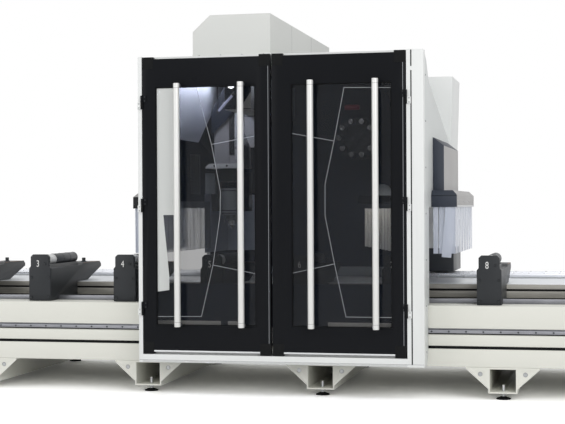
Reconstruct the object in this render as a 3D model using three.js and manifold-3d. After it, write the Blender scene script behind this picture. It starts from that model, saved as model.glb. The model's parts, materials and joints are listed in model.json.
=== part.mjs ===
// Five-axis machining centre for long profiles: a stepped bed on cross beams, eight sliding clamps,
// and a gantry cabin that travels along the bed with the tool head inside.
// Millimetres. X runs along the bed, Y from the doors to the back, Z up.
// Y starts at the outer face of the doors, and the whole machine is centred in depth at the end.
import * as THREE from 'three';
import { mergeVertices } from 'three/addons/utils/BufferGeometryUtils.js';
import Module from 'manifold-3d';

const wasm = await Module();
wasm.setup();

// Clearances and cutting overrun.
const seat = 0.3;
const overrun = 5;
const roundSides = 16;

// Bed.
const bedLength = 7200;
const bedFrontY = 230;
const bedDepth = 1970;
const bedBottomZ = 228;
const bedHeight = 427;
const bedWall = 20;
const bedFrontWall = 60;
const bedEndPlate = 16;
const bedEndMargin = 70;
const railGrooveZ = 452;
const railGrooveHeight = 44;
const railGrooveDepth = 26;
const coverGrooveZ = 354;
const coverGrooveHeight = 20;
const coverGrooveDepth = 18;

// Upper deck beam, behind the step that the clamps stand on.
const stepDepth = 670;
const deckHeight = 115;
const deckWall = 14;
const deckEndMargin = 26;

// Rails and rack on the bed.
const frontRailWidth = 24;
const frontRailDepth = 20;
const gantryRailWidth = 45;
const gantryRailHeight = 40;
const innerRailY = 1790;
const outerRailY = 2130;
const rackWidth = 40;
const rackHeight = 40;
const rackY = 1960;
const clampRailWidth = 40;
const clampRailHeight = 34;
const clampRailY = 490;
const bandRailHeight = 50;
const bandRailDepth = 30;
const bandRailRise = 17;

// Cross beams with gussets and levelling feet.
const crossBeamCount = 6;
const crossBeamPitch = 1288;
const crossTubeWidth = 200;
const crossTubeWall = 10;
const crossTubeBottomZ = 48;
const crossTubeInset = 5;
const gussetReach = 153;
const gussetThickness = 12;
const gussetFoot = 30;
const gussetHoleRadius = 17;
const gussetHoleDrop = 46;
const gussetHoleOut = 55;
const flangeThickness = 12;
const flangeDepth = 70;
const footInset = 85;
const footPadRadius = 52;
const footPadRim = 8;
const footPadHeight = 20;
const footNeckRadius = 20;
const footStudRadius = 11;
const footStudRise = 52;

// Clamps.
const clampCount = 8;
const clampPitch = 670;
const lastClampX = 1836;
const clampFrontY = 300;
const clampWidth = 172;
const clampHeadWidth = 146;
const clampHeadTopZ = 1004;
const clampHeadChamfer = 18;
const clampShoulderZ = 900;
const clampPlate = 36;
const clampLift = 2;
const clampBodyLength = 562;
const clampDeckLift = 5;
const clampNoseStart = 700;
const clampNoseUnderStart = 793;
const clampLength = 1100;
const clampNoseRise = 15;
const clampTipDrop = 20;
const clampTipHeight = 23;
const clampTipSlope = 30;
const stopPinRadius = 15;
const stopPinHeight = 32;
const stopPinBack = 175;
const jawRadius = 43;
const jawRodRadius = 36;
const jawRodLength = 162;
const jawLength = 490;
const jawLift = 60;
const cradleWidth = 104;
const cradleRise = 28;

// Cabin outline.
const cabinLeftX = -632;
const cabinRightX = 1419;
const cabinTopZ = 2430;
const cabinBackY = 2390;
const roofThickness = 27;
const panelThickness = 30;
const innerPanelThickness = 17;
const frameDepth = 90;
const leftPostWidth = 29;
const rightPostWidth = 118;
const topRailHeight = 50;
const sillBottomZ = 245;
const sillHeight = 58;
const sillCove = 17;
const sillCoveDepth = 14;
const sillLipHeight = 27;
const doorClearance = 5;
const crossMemberZ = 400;
const crossMemberHeight = 98;
const crossMemberDepth = 60;
const guideArmHeight = 20;
const guideArmWidth = 120;
const guideArmInset = 160;

// Side walls: a slanted upper edge, and a cut-out that the bed and the clamps pass through.
const wallToeZ = 330;
const wallToeY = 150;
const wallFrontStripY = 212;
const wallUpperStripY = 284;
const stripStepLift = 7;
const tunnelTopZ = 1345;
const tunnelBackY = 1790;
const wallRailLift = 12;
const shoulderPointsY = [170, 313, 1540];
const shoulderDrops = [61, 195, 532];
const rearShoulderDrop = 765;
const ledgeThickness = 20;
const leftShoulderWidth = 175;
const rightShoulderWidth = 302;

// Tunnel hoods and their curtains.
const hoodReach = 186;
const hoodFrontY = 428;
const hoodBackY = 1776;
const hoodHeight = 120;
const hoodChamfer = 34;
const hoodWall = 12;
const upperHoodReach = 81;
const upperHoodFrontY = 542;
const upperHoodBackY = 1582;
const upperHoodHeight = 323;
const upperHoodSlope = 63;
const curtainBottomZ = 1012;
const curtainThickness = 4;
const curtainStripWidth = 95;
const curtainStripShare = 0.5;
const curtainTuck = 60;

// Top cover, roof slot and apron.
const topCoverLeftX = -265;
const topCoverRightX = 310;
const topCoverFrontY = 150;
const topCoverBackY = 2400;
const topCoverHeight = 303;
const topCoverChamferX = 128;
const topCoverChamferZ = 118;
const topCoverWall = 10;
const roofSlotMargin = 60;
const roofSlotBackY = 1700;
const apronThickness = 8;
const apronTopZ = 806;

// Electrical cabinet at the back right, and its door.
const cabinetFrontY = 1800;
const cabinetTopDrop = 74;
const cabinetTopX = 1437;
const cabinetBottomX = 1385;
const cabinetWall = 20;
const cabinetFrameWidth = 32;
const cabinetDoorThickness = 18;
const cabinetDoorMargin = 14;

// Doors, glass and handles.
const doorBottomZ = 322;
const doorTopDrop = 18;
const doorThickness = 40;
const doorHingeGap = 5;
const doorMiddleX = 346;
const doorMiddleGap = 12;
const glassBottomZ = 512;
const glassTopMargin = 203;
const glassThickness = 8;
const glassSetback = 14;
const glassRebate = 12;
const outerStileWidth = 98;
const leftMeetingStile = 110;
const rightMeetingStile = 139;
const cornerBlockReach = 14;
const cornerBlockWidth = 80;
const cornerBlockHeight = 70;
const handleRadius = 25;
const handleStandoff = 70;
const handleBottomZ = 488;
const handleTopMargin = 172;
const handlePostRadius = 10;
const handlePostInset = 12;
const leftHandlesX = [-323, 142];
const rightHandlesX = [1094, 640];
const hingeCount = 3;
const hingeEndInset = 260;
const hingeBarrelRadius = 9;
const hingeBarrelLength = 48;
const hingePinRadius = 4;
const hingePinReach = 30;
const hingeLeafWidth = 34;
const hingeLeafThickness = 7;

// Column, beam and X drive.
const columnLeftX = -152;
const columnRightX = 948;
const columnFrontY = 1760;
const columnBackY = 2160;
const columnWall = 22;
const saddleLift = 12;
const saddleHeight = 78;
const saddleOverhang = 20;
const columnWindowMargin = 120;
const beamLeftX = -60;
const beamWidth = 200;
const beamTopDrop = 73;
const beamHeight = 270;
const beamFrontY = 260;
const beamWall = 14;
const beamRailWidth = 34;
const beamRailDepth = 18;
const beamRailInset = 40;
const pinionRadius = 55;
const pinionToothDepth = 9;
const pinionTeeth = 22;
const pinionHeight = 40;
const pinionX = 400;
const pinionShaftRadius = 14;
const motorWidth = 130;
const motorHeight = 240;
const magazineX = 700;
const magazineDrop = 160;
const magazineRadius = 170;
const magazineThickness = 50;
const magazineHubRadius = 60;
const magazineHubLength = 120;
const magazinePocketCount = 10;
const magazinePocketRadius = 30;
const magazinePocketLength = 110;

// Y carriage, ram and tool head.
const headX = -230;
const headY = 1100;
const carriageThickness = 40;
const carriageWidth = 300;
const carriageTail = 160;
const carriageTopMargin = 20;
const ramRailWidth = 36;
const ramRailDepth = 18;
const ramRailSpread = 140;
const ramWidth = 220;
const ramTopRise = 100;
const ramFlangeThickness = 20;
const ramFlangeLeftX = -404;
const ramFlangeDepth = 280;
const turntableRadius = 110;
const turntableHeight = 34;
const spindleArmGap = 12;
const yokeDepth = 150;
const yokeHeight = 70;
const forkArmThickness = 54;
const forkArmDepth = 120;
const forkArmDrop = 80;
const tiltPivotLift = 485;
const ramLift = 275;
const trunnionRadius = 34;
const spindleRadius = 84;
const spindleTop = 100;
const spindleNose = 150;
const spindleNoseRadius = 46;
const spindleNoseLength = 40;
const holderRadius = 31;
const holderHeight = 30;
const colletRadius = 21;
const colletHeight = 22;
const toolRadius = 6;
const toolLength = 24;

// Derived places.
const bedBackY = bedFrontY + bedDepth;
const bedTopZ = bedBottomZ + bedHeight;
const deckFrontY = bedFrontY + stepDepth;
const deckBottomZ = bedTopZ + seat;
const deckTopZ = deckBottomZ + deckHeight;
const railBottomZ = deckTopZ + seat;
const railTopZ = railBottomZ + gantryRailHeight;
const frontRailZ = railGrooveZ + railGrooveHeight / 2;
const frontRailFaceY = bedFrontY + railGrooveDepth - seat - frontRailDepth;
const doorTopZ = cabinTopZ - doorTopDrop;
const glassTopZ = doorTopZ - glassTopMargin;
const handleTopZ = doorTopZ - handleTopMargin;
const doorLeftX = cabinLeftX + leftPostWidth + doorHingeGap;
const doorRightX = cabinRightX - rightPostWidth - doorHingeGap;
const hingeAxisY = -hingeBarrelRadius - seat;
const frameBackY = frameDepth;
const panelFrontY = frameBackY + seat;
const frameRearBandY = doorThickness + doorClearance;
const memberBackY = frameRearBandY + doorClearance + crossMemberDepth;
const roofBottomZ = cabinTopZ - roofThickness;
const topCoverTopZ = cabinTopZ + topCoverHeight;
const cabinetTopZ = cabinTopZ - cabinetTopDrop;
const beamBottomZ = roofBottomZ - beamTopDrop - beamHeight;
const magazineZ = beamBottomZ - magazineDrop;
const clampTopZ = clampShoulderZ + clampNoseRise;
const tiltPivotZ = clampTopZ + tiltPivotLift;
const ramBottomZ = tiltPivotZ + ramLift;
const carriageBottomZ = ramBottomZ + carriageTail;
const ramTopZ = beamBottomZ + ramTopRise;
const yokeWidth = 2 * (spindleRadius + spindleArmGap + forkArmThickness);
const saddleBottomZ = deckTopZ + saddleLift;
const saddleTopZ = saddleBottomZ + saddleHeight;
const wallRearBottomZ = railTopZ + wallRailLift;
const innerRightX = cabinRightX - rightShoulderWidth;
const innerLeftX = cabinLeftX + leftShoulderWidth;
const carriageRightX = beamLeftX - seat;
const carriageLeftX = carriageRightX - carriageThickness;
const carriageTopZ = beamBottomZ + beamHeight - carriageTopMargin;
const ramRightX = carriageLeftX - seat;

const finish = {
  bedPaint: { color: 0xe0e0d8, roughness: 0.5, metalness: 0 },
  cabinWhite: { color: 0xe9ebea, roughness: 0.4, metalness: 0 },
  cabinGrey: { color: 0xc9cdcc, roughness: 0.45, metalness: 0 },
  coverGrey: { color: 0xd9dad7, roughness: 0.5, metalness: 0 },
  hoodSlate: { color: 0x3c434a, roughness: 0.5, metalness: 0 },
  doorBlack: { color: 0x17191c, roughness: 0.35, metalness: 0 },
  darkGlass: { color: 0x1b2126, roughness: 0.08, metalness: 0, transparent: true, opacity: 0.45 },
  handle: { color: 0xdcdcda, roughness: 0.35, metalness: 0.3 },
  curtain: { color: 0xb9c0c8, roughness: 0.3, metalness: 0, transparent: true, opacity: 0.6 },
  clampBlack: { color: 0x26292c, roughness: 0.5, metalness: 0.1 },
  jawSteel: { color: 0x9a9c9e, roughness: 0.3, metalness: 1 },
  railSteel: { color: 0xa8a9aa, roughness: 0.25, metalness: 1 },
  castGrey: { color: 0x8d9296, roughness: 0.55, metalness: 0.2 },
  motorDark: { color: 0x2e3134, roughness: 0.5, metalness: 0.1 },
  toolSteel: { color: 0xb4b5b6, roughness: 0.2, metalness: 1 },
};

// Turns a three.js geometry into a solid that can be joined and cut.
function solidOf(geometry) {
  const bare = geometry.index ? geometry.toNonIndexed() : geometry.clone();
  bare.deleteAttribute('normal');
  bare.deleteAttribute('uv');
  const merged = mergeVertices(bare);
  const vertProperties = new Float32Array(merged.attributes.position.array);
  const triVerts = new Uint32Array(merged.index.array);
  return new wasm.Manifold(new wasm.Mesh({ numProp: 3, vertProperties, triVerts }));
}

// A block between two corners, whichever way round each pair is given.
function block([xa, xb], [ya, yb], [za, zb]) {
  const geometry = new THREE.BoxGeometry(Math.abs(xb - xa), Math.abs(yb - ya), Math.abs(zb - za));
  geometry.translate((xa + xb) / 2, (ya + yb) / 2, (za + zb) / 2);
  return solidOf(geometry);
}

const axes = {
  x: new THREE.Vector3(1, 0, 0),
  y: new THREE.Vector3(0, 1, 0),
  z: new THREE.Vector3(0, 0, 1),
};

// An outline pushed along one axis. Outlines are [y, z] for x, [x, z] for y and [x, y] for z.
function prism(axis, outline, from, to) {
  const points = axis === 'y' ? outline.map(([x, z]) => [z, x]) : outline;
  const shape = new THREE.Shape(points.map(([u, v]) => new THREE.Vector2(u, v)));
  const low = Math.min(from, to);
  const geometry = new THREE.ExtrudeGeometry(shape, { depth: Math.abs(to - from), bevelEnabled: false });
  geometry.translate(0, 0, low);
  const turn = new THREE.Matrix4();
  if (axis === 'x') turn.makeBasis(axes.y, axes.z, axes.x);
  if (axis === 'y') turn.makeBasis(axes.z, axes.x, axes.y);
  geometry.applyMatrix4(turn);
  return solidOf(geometry);
}

// A round bar along one axis; centre is the pair of coordinates across it.
function bar(axis, radius, [a, b], from, to, sides = roundSides) {
  const outline = [];
  for (let i = 0; i < sides; i += 1) {
    const angle = (2 * Math.PI * (i + 0.5)) / sides;
    outline.push([a + radius * Math.cos(angle), b + radius * Math.sin(angle)]);
  }
  return prism(axis, outline, from, to);
}

// A turned piece on a vertical axis, from [radius, z] points that start and end on the axis.
function turned(profile, [x, y], sides = roundSides) {
  const points = profile.map(([radius, z]) => new THREE.Vector2(radius, z));
  const geometry = new THREE.LatheGeometry(points, sides);
  geometry.rotateX(Math.PI / 2);
  geometry.translate(x, y, 0);
  return solidOf(geometry);
}

function join(...solids) {
  return solids.reduce((whole, piece) => whole.add(piece));
}

function cut(whole, ...tools) {
  return tools.reduce((rest, tool) => rest.subtract(tool), whole);
}

const machine = new THREE.Group();

function place(name, solid, look, group = machine) {
  const { vertProperties, triVerts } = solid.getMesh();
  const geometry = new THREE.BufferGeometry();
  geometry.setAttribute('position', new THREE.BufferAttribute(new Float32Array(vertProperties), 3));
  geometry.setIndex(Array.from(triVerts));
  geometry.computeVertexNormals();
  const mesh = new THREE.Mesh(geometry, new THREE.MeshStandardMaterial(look));
  mesh.name = name;
  group.add(mesh);
}

// A hollow beam along X with end plates that have an opening each.
function hollowBeam([y0, y1], [z0, z1], walls, endPlate, margin) {
  const half = bedLength / 2;
  const outer = block([-half, half], [y0, y1], [z0, z1]);
  const room = block(
    [-half + endPlate, half - endPlate],
    [y0 + walls.front, y1 - walls.other],
    [z0 + walls.other, z1 - walls.other],
  );
  const mouth = block(
    [-half - overrun, half + overrun],
    [y0 + walls.front + margin, y1 - walls.other - margin],
    [z0 + walls.other + margin / 2, z1 - walls.other - margin / 2],
  );
  return cut(outer, room, mouth);
}

function bed() {
  const half = bedLength / 2;
  const ends = [-half - overrun, half + overrun];
  const beam = hollowBeam(
    [bedFrontY, bedBackY],
    [bedBottomZ, bedTopZ],
    { front: bedFrontWall, other: bedWall },
    bedEndPlate,
    bedEndMargin,
  );
  const railGroove = block(
    ends,
    [bedFrontY - overrun, bedFrontY + railGrooveDepth],
    [railGrooveZ, railGrooveZ + railGrooveHeight],
  );
  const coverGroove = block(
    ends,
    [bedFrontY - overrun, bedFrontY + coverGrooveDepth],
    [coverGrooveZ, coverGrooveZ + coverGrooveHeight],
  );
  place('bed_beam', cut(beam, railGroove, coverGroove), finish.bedPaint);
  place(
    'deck_beam',
    hollowBeam(
      [deckFrontY, bedBackY],
      [deckBottomZ, deckTopZ],
      { front: deckWall, other: deckWall },
      bedEndPlate,
      deckEndMargin,
    ),
    finish.bedPaint,
  );
}

function bedRails() {
  const half = bedLength / 2;
  const along = [-half, half];
  const rail = (name, y, z) => place(name, block(along, y, z), finish.railSteel);
  rail(
    'front_guide_rail',
    [frontRailFaceY, frontRailFaceY + frontRailDepth],
    [frontRailZ - frontRailWidth / 2, frontRailZ + frontRailWidth / 2],
  );
  const gantryRail = (name, y) => rail(
    name,
    [y - gantryRailWidth / 2, y + gantryRailWidth / 2],
    [railBottomZ, railTopZ],
  );
  gantryRail('gantry_rail_inner', innerRailY);
  gantryRail('gantry_rail_outer', outerRailY);
  rail('drive_rack', [rackY - rackWidth / 2, rackY + rackWidth / 2], [railBottomZ, railBottomZ + rackHeight]);
  rail(
    'clamp_rail_front',
    [clampRailY - clampRailWidth / 2, clampRailY + clampRailWidth / 2],
    [bedTopZ + seat, bedTopZ + seat + clampRailHeight],
  );
  rail(
    'clamp_rail_back',
    [deckFrontY - seat - bandRailDepth, deckFrontY - seat],
    [bedTopZ + bandRailRise, bedTopZ + bandRailRise + bandRailHeight],
  );
}

function levellingFoot(x, y) {
  const stud = footStudRadius;
  const top = crossTubeBottomZ + footStudRise;
  return turned(
    [
      [0, 0],
      [footPadRadius, 0],
      [footPadRadius, footPadRim],
      [footNeckRadius, footPadHeight],
      [stud, footPadHeight],
      [stud, top],
      [0, top],
    ],
    [x, y],
    12,
  );
}

// Square tube across the bed, gussets and flange plates at both ends, a levelling foot under each end.
function crossBeam(x) {
  const top = bedBottomZ - seat;
  const [y0, y1] = [bedFrontY + crossTubeInset, bedBackY - crossTubeInset];
  const half = crossTubeWidth / 2;
  const tube = cut(
    block([x - half, x + half], [y0, y1], [crossTubeBottomZ, top]),
    block(
      [x - half + crossTubeWall, x + half - crossTubeWall],
      [y0 - overrun, y1 + overrun],
      [crossTubeBottomZ + crossTubeWall, top - crossTubeWall],
    ),
  );
  const parts = [tube];
  for (const [end, inward] of [[y0, 1], [y1, -1]]) {
    parts.push(block(
      [x - half - gussetReach, x + half + gussetReach],
      [end, end + inward * flangeDepth],
      [top - flangeThickness, top],
    ));
    for (const side of [-1, 1]) {
      const root = x + side * (half - crossTubeWall / 2);
      const tip = x + side * (half + gussetReach);
      const gusset = prism(
        'y',
        [
          [root, top - flangeThickness / 2],
          [tip, top - flangeThickness / 2],
          [tip, top - flangeThickness],
          [x + side * half, crossTubeBottomZ + gussetFoot],
          [root, crossTubeBottomZ + gussetFoot],
        ],
        end,
        end + inward * gussetThickness,
      );
      const hole = bar(
        'y',
        gussetHoleRadius,
        [x + side * (half + gussetHoleOut), top - gussetHoleDrop],
        end - inward * overrun,
        end + inward * (gussetThickness + overrun),
        10,
      );
      parts.push(cut(gusset, hole));
    }
    parts.push(levellingFoot(x, end + inward * footInset));
  }
  return join(...parts);
}

function crossBeams() {
  for (let i = 0; i < crossBeamCount; i += 1) {
    const x = (i - (crossBeamCount - 1) / 2) * crossBeamPitch;
    place(`cross_beam_${i + 1}`, crossBeam(x), finish.bedPaint);
  }
}

const jawCentreZ = clampShoulderZ + jawLift;

function clampBody(x) {
  const halfBody = clampWidth / 2;
  const halfHead = clampHeadWidth / 2;
  const bottom = bedTopZ + clampLift;
  const front = clampFrontY;
  const tipY = front + clampLength;
  const noseUnderZ = deckTopZ + clampDeckLift;
  const plate = prism(
    'y',
    [
      [x - halfBody, bottom],
      [x + halfBody, bottom],
      [x + halfBody, clampShoulderZ],
      [x + halfHead, clampShoulderZ + clampNoseRise],
      [x + halfHead, clampHeadTopZ - clampHeadChamfer],
      [x + halfHead - clampHeadChamfer, clampHeadTopZ],
      [x - halfHead + clampHeadChamfer, clampHeadTopZ],
      [x - halfHead, clampHeadTopZ - clampHeadChamfer],
      [x - halfHead, clampShoulderZ + clampNoseRise],
      [x - halfBody, clampShoulderZ],
    ],
    front,
    front + clampPlate,
  );
  const side = prism(
    'x',
    [
      [front, bottom],
      [front + clampBodyLength, bottom],
      [front + clampBodyLength, noseUnderZ],
      [front + clampNoseUnderStart, noseUnderZ],
      [tipY, clampTopZ - clampTipDrop - clampTipHeight],
      [tipY, clampTopZ - clampTipDrop],
      [tipY - clampTipSlope, clampTopZ],
      [front + clampNoseStart, clampTopZ],
      [front + clampNoseStart - clampTipSlope, clampShoulderZ],
      [front, clampShoulderZ],
    ],
    x - halfBody,
    x + halfBody,
  );
  const cradleEnd = front + clampPlate + jawRodLength + jawLength - clampTipSlope;
  const cradle = block(
    [x - cradleWidth / 2, x + cradleWidth / 2],
    [front + clampPlate / 2, cradleEnd],
    [clampShoulderZ - overrun, clampShoulderZ + cradleRise],
  );
  const jawBed = bar(
    'y',
    jawRadius + seat,
    [x, jawCentreZ],
    front + clampPlate,
    cradleEnd + overrun,
  );
  const railSlot = block(
    [x - halfBody - overrun, x + halfBody + overrun],
    [clampRailY - clampRailWidth / 2 - seat, clampRailY + clampRailWidth / 2 + seat],
    [bottom - overrun, bedTopZ + seat + clampRailHeight + seat],
  );
  const pin = bar(
    'z',
    stopPinRadius,
    [x, tipY - stopPinBack],
    clampTopZ - overrun,
    clampTopZ + stopPinHeight,
    12,
  );
  return join(cut(join(plate, side, cradle), jawBed, railSlot), pin);
}

function clampJaw(x) {
  const rear = clampFrontY + clampPlate + seat;
  const shoulder = rear + jawRodLength;
  return join(
    bar('y', jawRodRadius, [x, jawCentreZ], rear, shoulder + overrun),
    bar('y', jawRadius, [x, jawCentreZ], shoulder, shoulder + jawLength),
  );
}

function clamps() {
  for (let i = 1; i <= clampCount; i += 1) {
    const x = lastClampX - (clampCount - i) * clampPitch;
    place(`clamp_${i}_body`, clampBody(x), finish.clampBlack);
    place(`clamp_${i}_jaw`, clampJaw(x), finish.jawSteel);
  }
}

// Lower edges of the hinges along a door.
function hingeHeights() {
  const first = doorBottomZ + hingeEndInset;
  const last = doorTopZ - hingeEndInset - 2 * hingeBarrelLength;
  return Array.from({ length: hingeCount }, (_, i) => first + ((last - first) * i) / (hingeCount - 1));
}

// Half of every hinge on one door edge: the lower knuckles with their pins sit on the post,
// and the upper knuckles, which have bores, sit on the door. Side points from the axis to the post.
function hingeHalves(axisX, side, onPost) {
  const leafSide = onPost ? side : -side;
  return hingeHeights().map((lowZ) => {
    const z0 = onPost ? lowZ : lowZ + hingeBarrelLength + seat;
    const z1 = z0 + hingeBarrelLength - (onPost ? 0 : seat);
    const barrel = bar('z', hingeBarrelRadius, [axisX, hingeAxisY], z0, z1, 12);
    const leaf = block(
      [axisX, axisX + leafSide * hingeLeafWidth],
      [-hingeLeafThickness, doorClearance],
      [z0, z1],
    );
    const gapSide = block(
      [axisX - leafSide * hingeLeafWidth, axisX + (leafSide * doorHingeGap) / 2],
      [0, 2 * doorClearance],
      [z0 - overrun, z1 + overrun],
    );
    const half = join(barrel, cut(leaf, gapSide));
    if (onPost) {
      return join(half, bar('z', hingePinRadius, [axisX, hingeAxisY], z0, z1 + hingePinReach, 10));
    }
    return cut(
      half,
      bar('z', hingePinRadius + seat, [axisX, hingeAxisY], z0 - overrun, z0 + hingePinReach, 10),
    );
  });
}

const leftHingeX = cabinLeftX + leftPostWidth + doorHingeGap / 2;
const rightHingeX = cabinRightX - rightPostWidth - doorHingeGap / 2;

// Front frame of the cabin, with the cross member whose arms reach the front guide rail.
function cabinFrame() {
  const post = (x0, x1) => block([x0, x1], [0, frameBackY], [sillBottomZ, cabinTopZ]);
  const sill = prism(
    'x',
    [
      [0, sillBottomZ + sillHeight],
      [0, sillBottomZ + sillCove],
      [sillCoveDepth, sillBottomZ],
      [frameBackY, sillBottomZ],
      [frameBackY, sillBottomZ + sillHeight + sillLipHeight],
      [frameRearBandY, sillBottomZ + sillHeight + sillLipHeight],
      [frameRearBandY, sillBottomZ + sillHeight],
    ],
    cabinLeftX,
    cabinRightX,
  );
  const topRail = block(
    [cabinLeftX, cabinRightX],
    [frameRearBandY, frameBackY],
    [cabinTopZ - topRailHeight, cabinTopZ],
  );
  const member = block(
    [cabinLeftX, cabinRightX],
    [frameRearBandY + doorClearance, memberBackY],
    [crossMemberZ, crossMemberZ + crossMemberHeight],
  );
  const armAt = (x) => block(
    [x - guideArmWidth / 2, x + guideArmWidth / 2],
    [memberBackY - overrun, frontRailFaceY - seat],
    [frontRailZ - guideArmHeight / 2, frontRailZ + guideArmHeight / 2],
  );
  const memberEnds = [cabinLeftX + panelThickness, cabinRightX - panelThickness];
  const trimmed = cut(
    member,
    block([cabinLeftX - overrun, memberEnds[0] + seat], [frameBackY, memberBackY + overrun], [0, roofBottomZ]),
    block([memberEnds[1] - seat, cabinRightX + overrun], [frameBackY, memberBackY + overrun], [0, roofBottomZ]),
  );
  place(
    'cabin_frame',
    join(
      post(cabinLeftX, cabinLeftX + leftPostWidth),
      post(cabinRightX - rightPostWidth, cabinRightX),
      sill,
      topRail,
      trimmed,
      armAt(cabinLeftX + guideArmInset),
      armAt(cabinRightX - guideArmInset),
      ...hingeHalves(leftHingeX, -1, true),
      ...hingeHalves(rightHingeX, 1, true),
    ),
    finish.cabinWhite,
  );
}

// Height of the slanted upper edge at its rear end for a wall that reaches to y.
function shoulderZAt(y) {
  const [, , lastY] = shoulderPointsY;
  const [, , lastDrop] = shoulderDrops;
  const slope = (rearShoulderDrop - lastDrop) / (cabinBackY - lastY);
  return cabinTopZ - lastDrop - (y - lastY) * slope;
}

// The slanted edge from front to back, as [y, z] points.
function shoulderLine(backY) {
  const middle = shoulderPointsY.map((y, i) => [y, cabinTopZ - shoulderDrops[i]]);
  return [[panelFrontY, roofBottomZ], ...middle, [backY, shoulderZAt(backY)]];
}

function outerWall(outerX, side, backY) {
  const upper = shoulderLine(backY);
  const rear = backY > tunnelBackY
    ? [[tunnelBackY, tunnelTopZ], [tunnelBackY, wallRearBottomZ], [backY, wallRearBottomZ]]
    : [[backY, tunnelTopZ]];
  return prism(
    'x',
    [
      [panelFrontY, sillBottomZ],
      [wallToeY, sillBottomZ],
      [wallFrontStripY, wallToeZ],
      [wallFrontStripY, bedTopZ + stripStepLift],
      [wallUpperStripY, bedTopZ + stripStepLift],
      [wallUpperStripY, tunnelTopZ],
      ...rear,
      ...upper.reverse(),
    ],
    outerX,
    outerX - side * panelThickness,
  );
}

function ledge(outerX, innerX, backY) {
  const line = shoulderLine(backY);
  const under = line.map(([y, z]) => [y, z - ledgeThickness]).reverse();
  return prism('x', [...line, ...under], outerX, innerX);
}

function sideWalls() {
  const rearFaceY = cabinBackY - panelThickness - seat;
  const leftLine = shoulderLine(rearFaceY).map(([y, z]) => [y, z - ledgeThickness]);
  const leftInner = prism(
    'x',
    [...leftLine, [rearFaceY, roofBottomZ - seat], [panelFrontY, roofBottomZ - seat]],
    innerLeftX,
    innerLeftX - innerPanelThickness,
  );
  place(
    'left_wall',
    join(
      outerWall(cabinLeftX, -1, rearFaceY),
      ledge(cabinLeftX, innerLeftX, rearFaceY),
      leftInner,
    ),
    finish.cabinGrey,
  );
  const rightLine = shoulderLine(tunnelBackY).map(([y, z]) => [y, z - ledgeThickness]);
  const rightInner = prism(
    'x',
    [
      ...rightLine,
      [tunnelBackY, wallRearBottomZ],
      [rearFaceY, wallRearBottomZ],
      [rearFaceY, roofBottomZ - seat],
      [panelFrontY, roofBottomZ - seat],
    ],
    innerRightX,
    innerRightX - innerPanelThickness,
  );
  place(
    'right_wall',
    join(
      outerWall(cabinRightX, 1, tunnelBackY),
      ledge(cabinRightX, innerRightX - innerPanelThickness, tunnelBackY),
      rightInner,
    ),
    finish.cabinGrey,
  );
}

function roofAndRear() {
  const sheet = block(
    [innerLeftX - innerPanelThickness, innerRightX],
    [panelFrontY, cabinBackY],
    [roofBottomZ, cabinTopZ],
  );
  const slot = block(
    [topCoverLeftX + roofSlotMargin, topCoverRightX - roofSlotMargin],
    [topCoverFrontY + roofSlotMargin, roofSlotBackY],
    [roofBottomZ - overrun, cabinTopZ + overrun],
  );
  place('roof', cut(sheet, slot), finish.cabinWhite);
  const leftTopZ = shoulderZAt(cabinBackY - panelThickness) - seat;
  const rear = prism(
    'y',
    [
      [cabinLeftX, wallRearBottomZ],
      [innerRightX, wallRearBottomZ],
      [innerRightX, roofBottomZ - seat],
      [innerLeftX - innerPanelThickness, roofBottomZ - seat],
      [innerLeftX - innerPanelThickness, leftTopZ],
      [cabinLeftX, leftTopZ],
    ],
    cabinBackY - panelThickness,
    cabinBackY,
  );
  place('rear_wall', rear, finish.cabinGrey);
}

// A hood over the tunnel mouth at one side, open below and towards the wall.
function hood(wallX, side) {
  const near = wallX + side * seat;
  const reach = wallX + side * hoodReach;
  const topZ = tunnelTopZ + hoodHeight;
  const lengthwise = (inset) => prism(
    'x',
    [
      [hoodFrontY + inset, tunnelTopZ - (inset ? overrun : 0)],
      [hoodBackY - inset, tunnelTopZ - (inset ? overrun : 0)],
      [hoodBackY - inset, topZ - hoodChamfer - inset / 2],
      [hoodBackY - inset - hoodChamfer + inset / 2, topZ - inset],
      [hoodFrontY + inset + hoodChamfer - inset / 2, topZ - inset],
      [hoodFrontY + inset, topZ - hoodChamfer - inset / 2],
    ],
    near - side * (inset ? overrun : 0),
    reach - side * inset,
  );
  const crosswise = (inset) => prism(
    'y',
    [
      [near - side * (inset ? overrun : 0), tunnelTopZ - (inset ? overrun : 0)],
      [reach - side * inset, tunnelTopZ - (inset ? overrun : 0)],
      [reach - side * inset, topZ - hoodChamfer - inset / 2],
      [reach - side * (inset / 2 + hoodChamfer), topZ - inset],
      [near - side * (inset ? overrun : 0), topZ - inset],
    ],
    hoodFrontY + inset,
    hoodBackY - inset,
  );
  const lower = cut(
    lengthwise(0).intersect(crosswise(0)),
    lengthwise(hoodWall).intersect(crosswise(hoodWall)),
  );
  const upperReach = wallX + side * upperHoodReach;
  const upperShell = (inset) => prism(
    'y',
    [
      [near - side * (inset ? overrun : 0), topZ - (inset ? -inset : hoodWall / 2)],
      [upperReach - side * inset, topZ - (inset ? -inset : hoodWall / 2)],
      [upperReach - side * inset, topZ + upperHoodHeight - inset],
      [near - side * (inset ? overrun : 0), topZ + upperHoodHeight + upperHoodSlope - inset],
    ],
    upperHoodFrontY + inset,
    upperHoodBackY - inset,
  );
  return join(lower, cut(upperShell(0), upperShell(hoodWall)));
}

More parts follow.
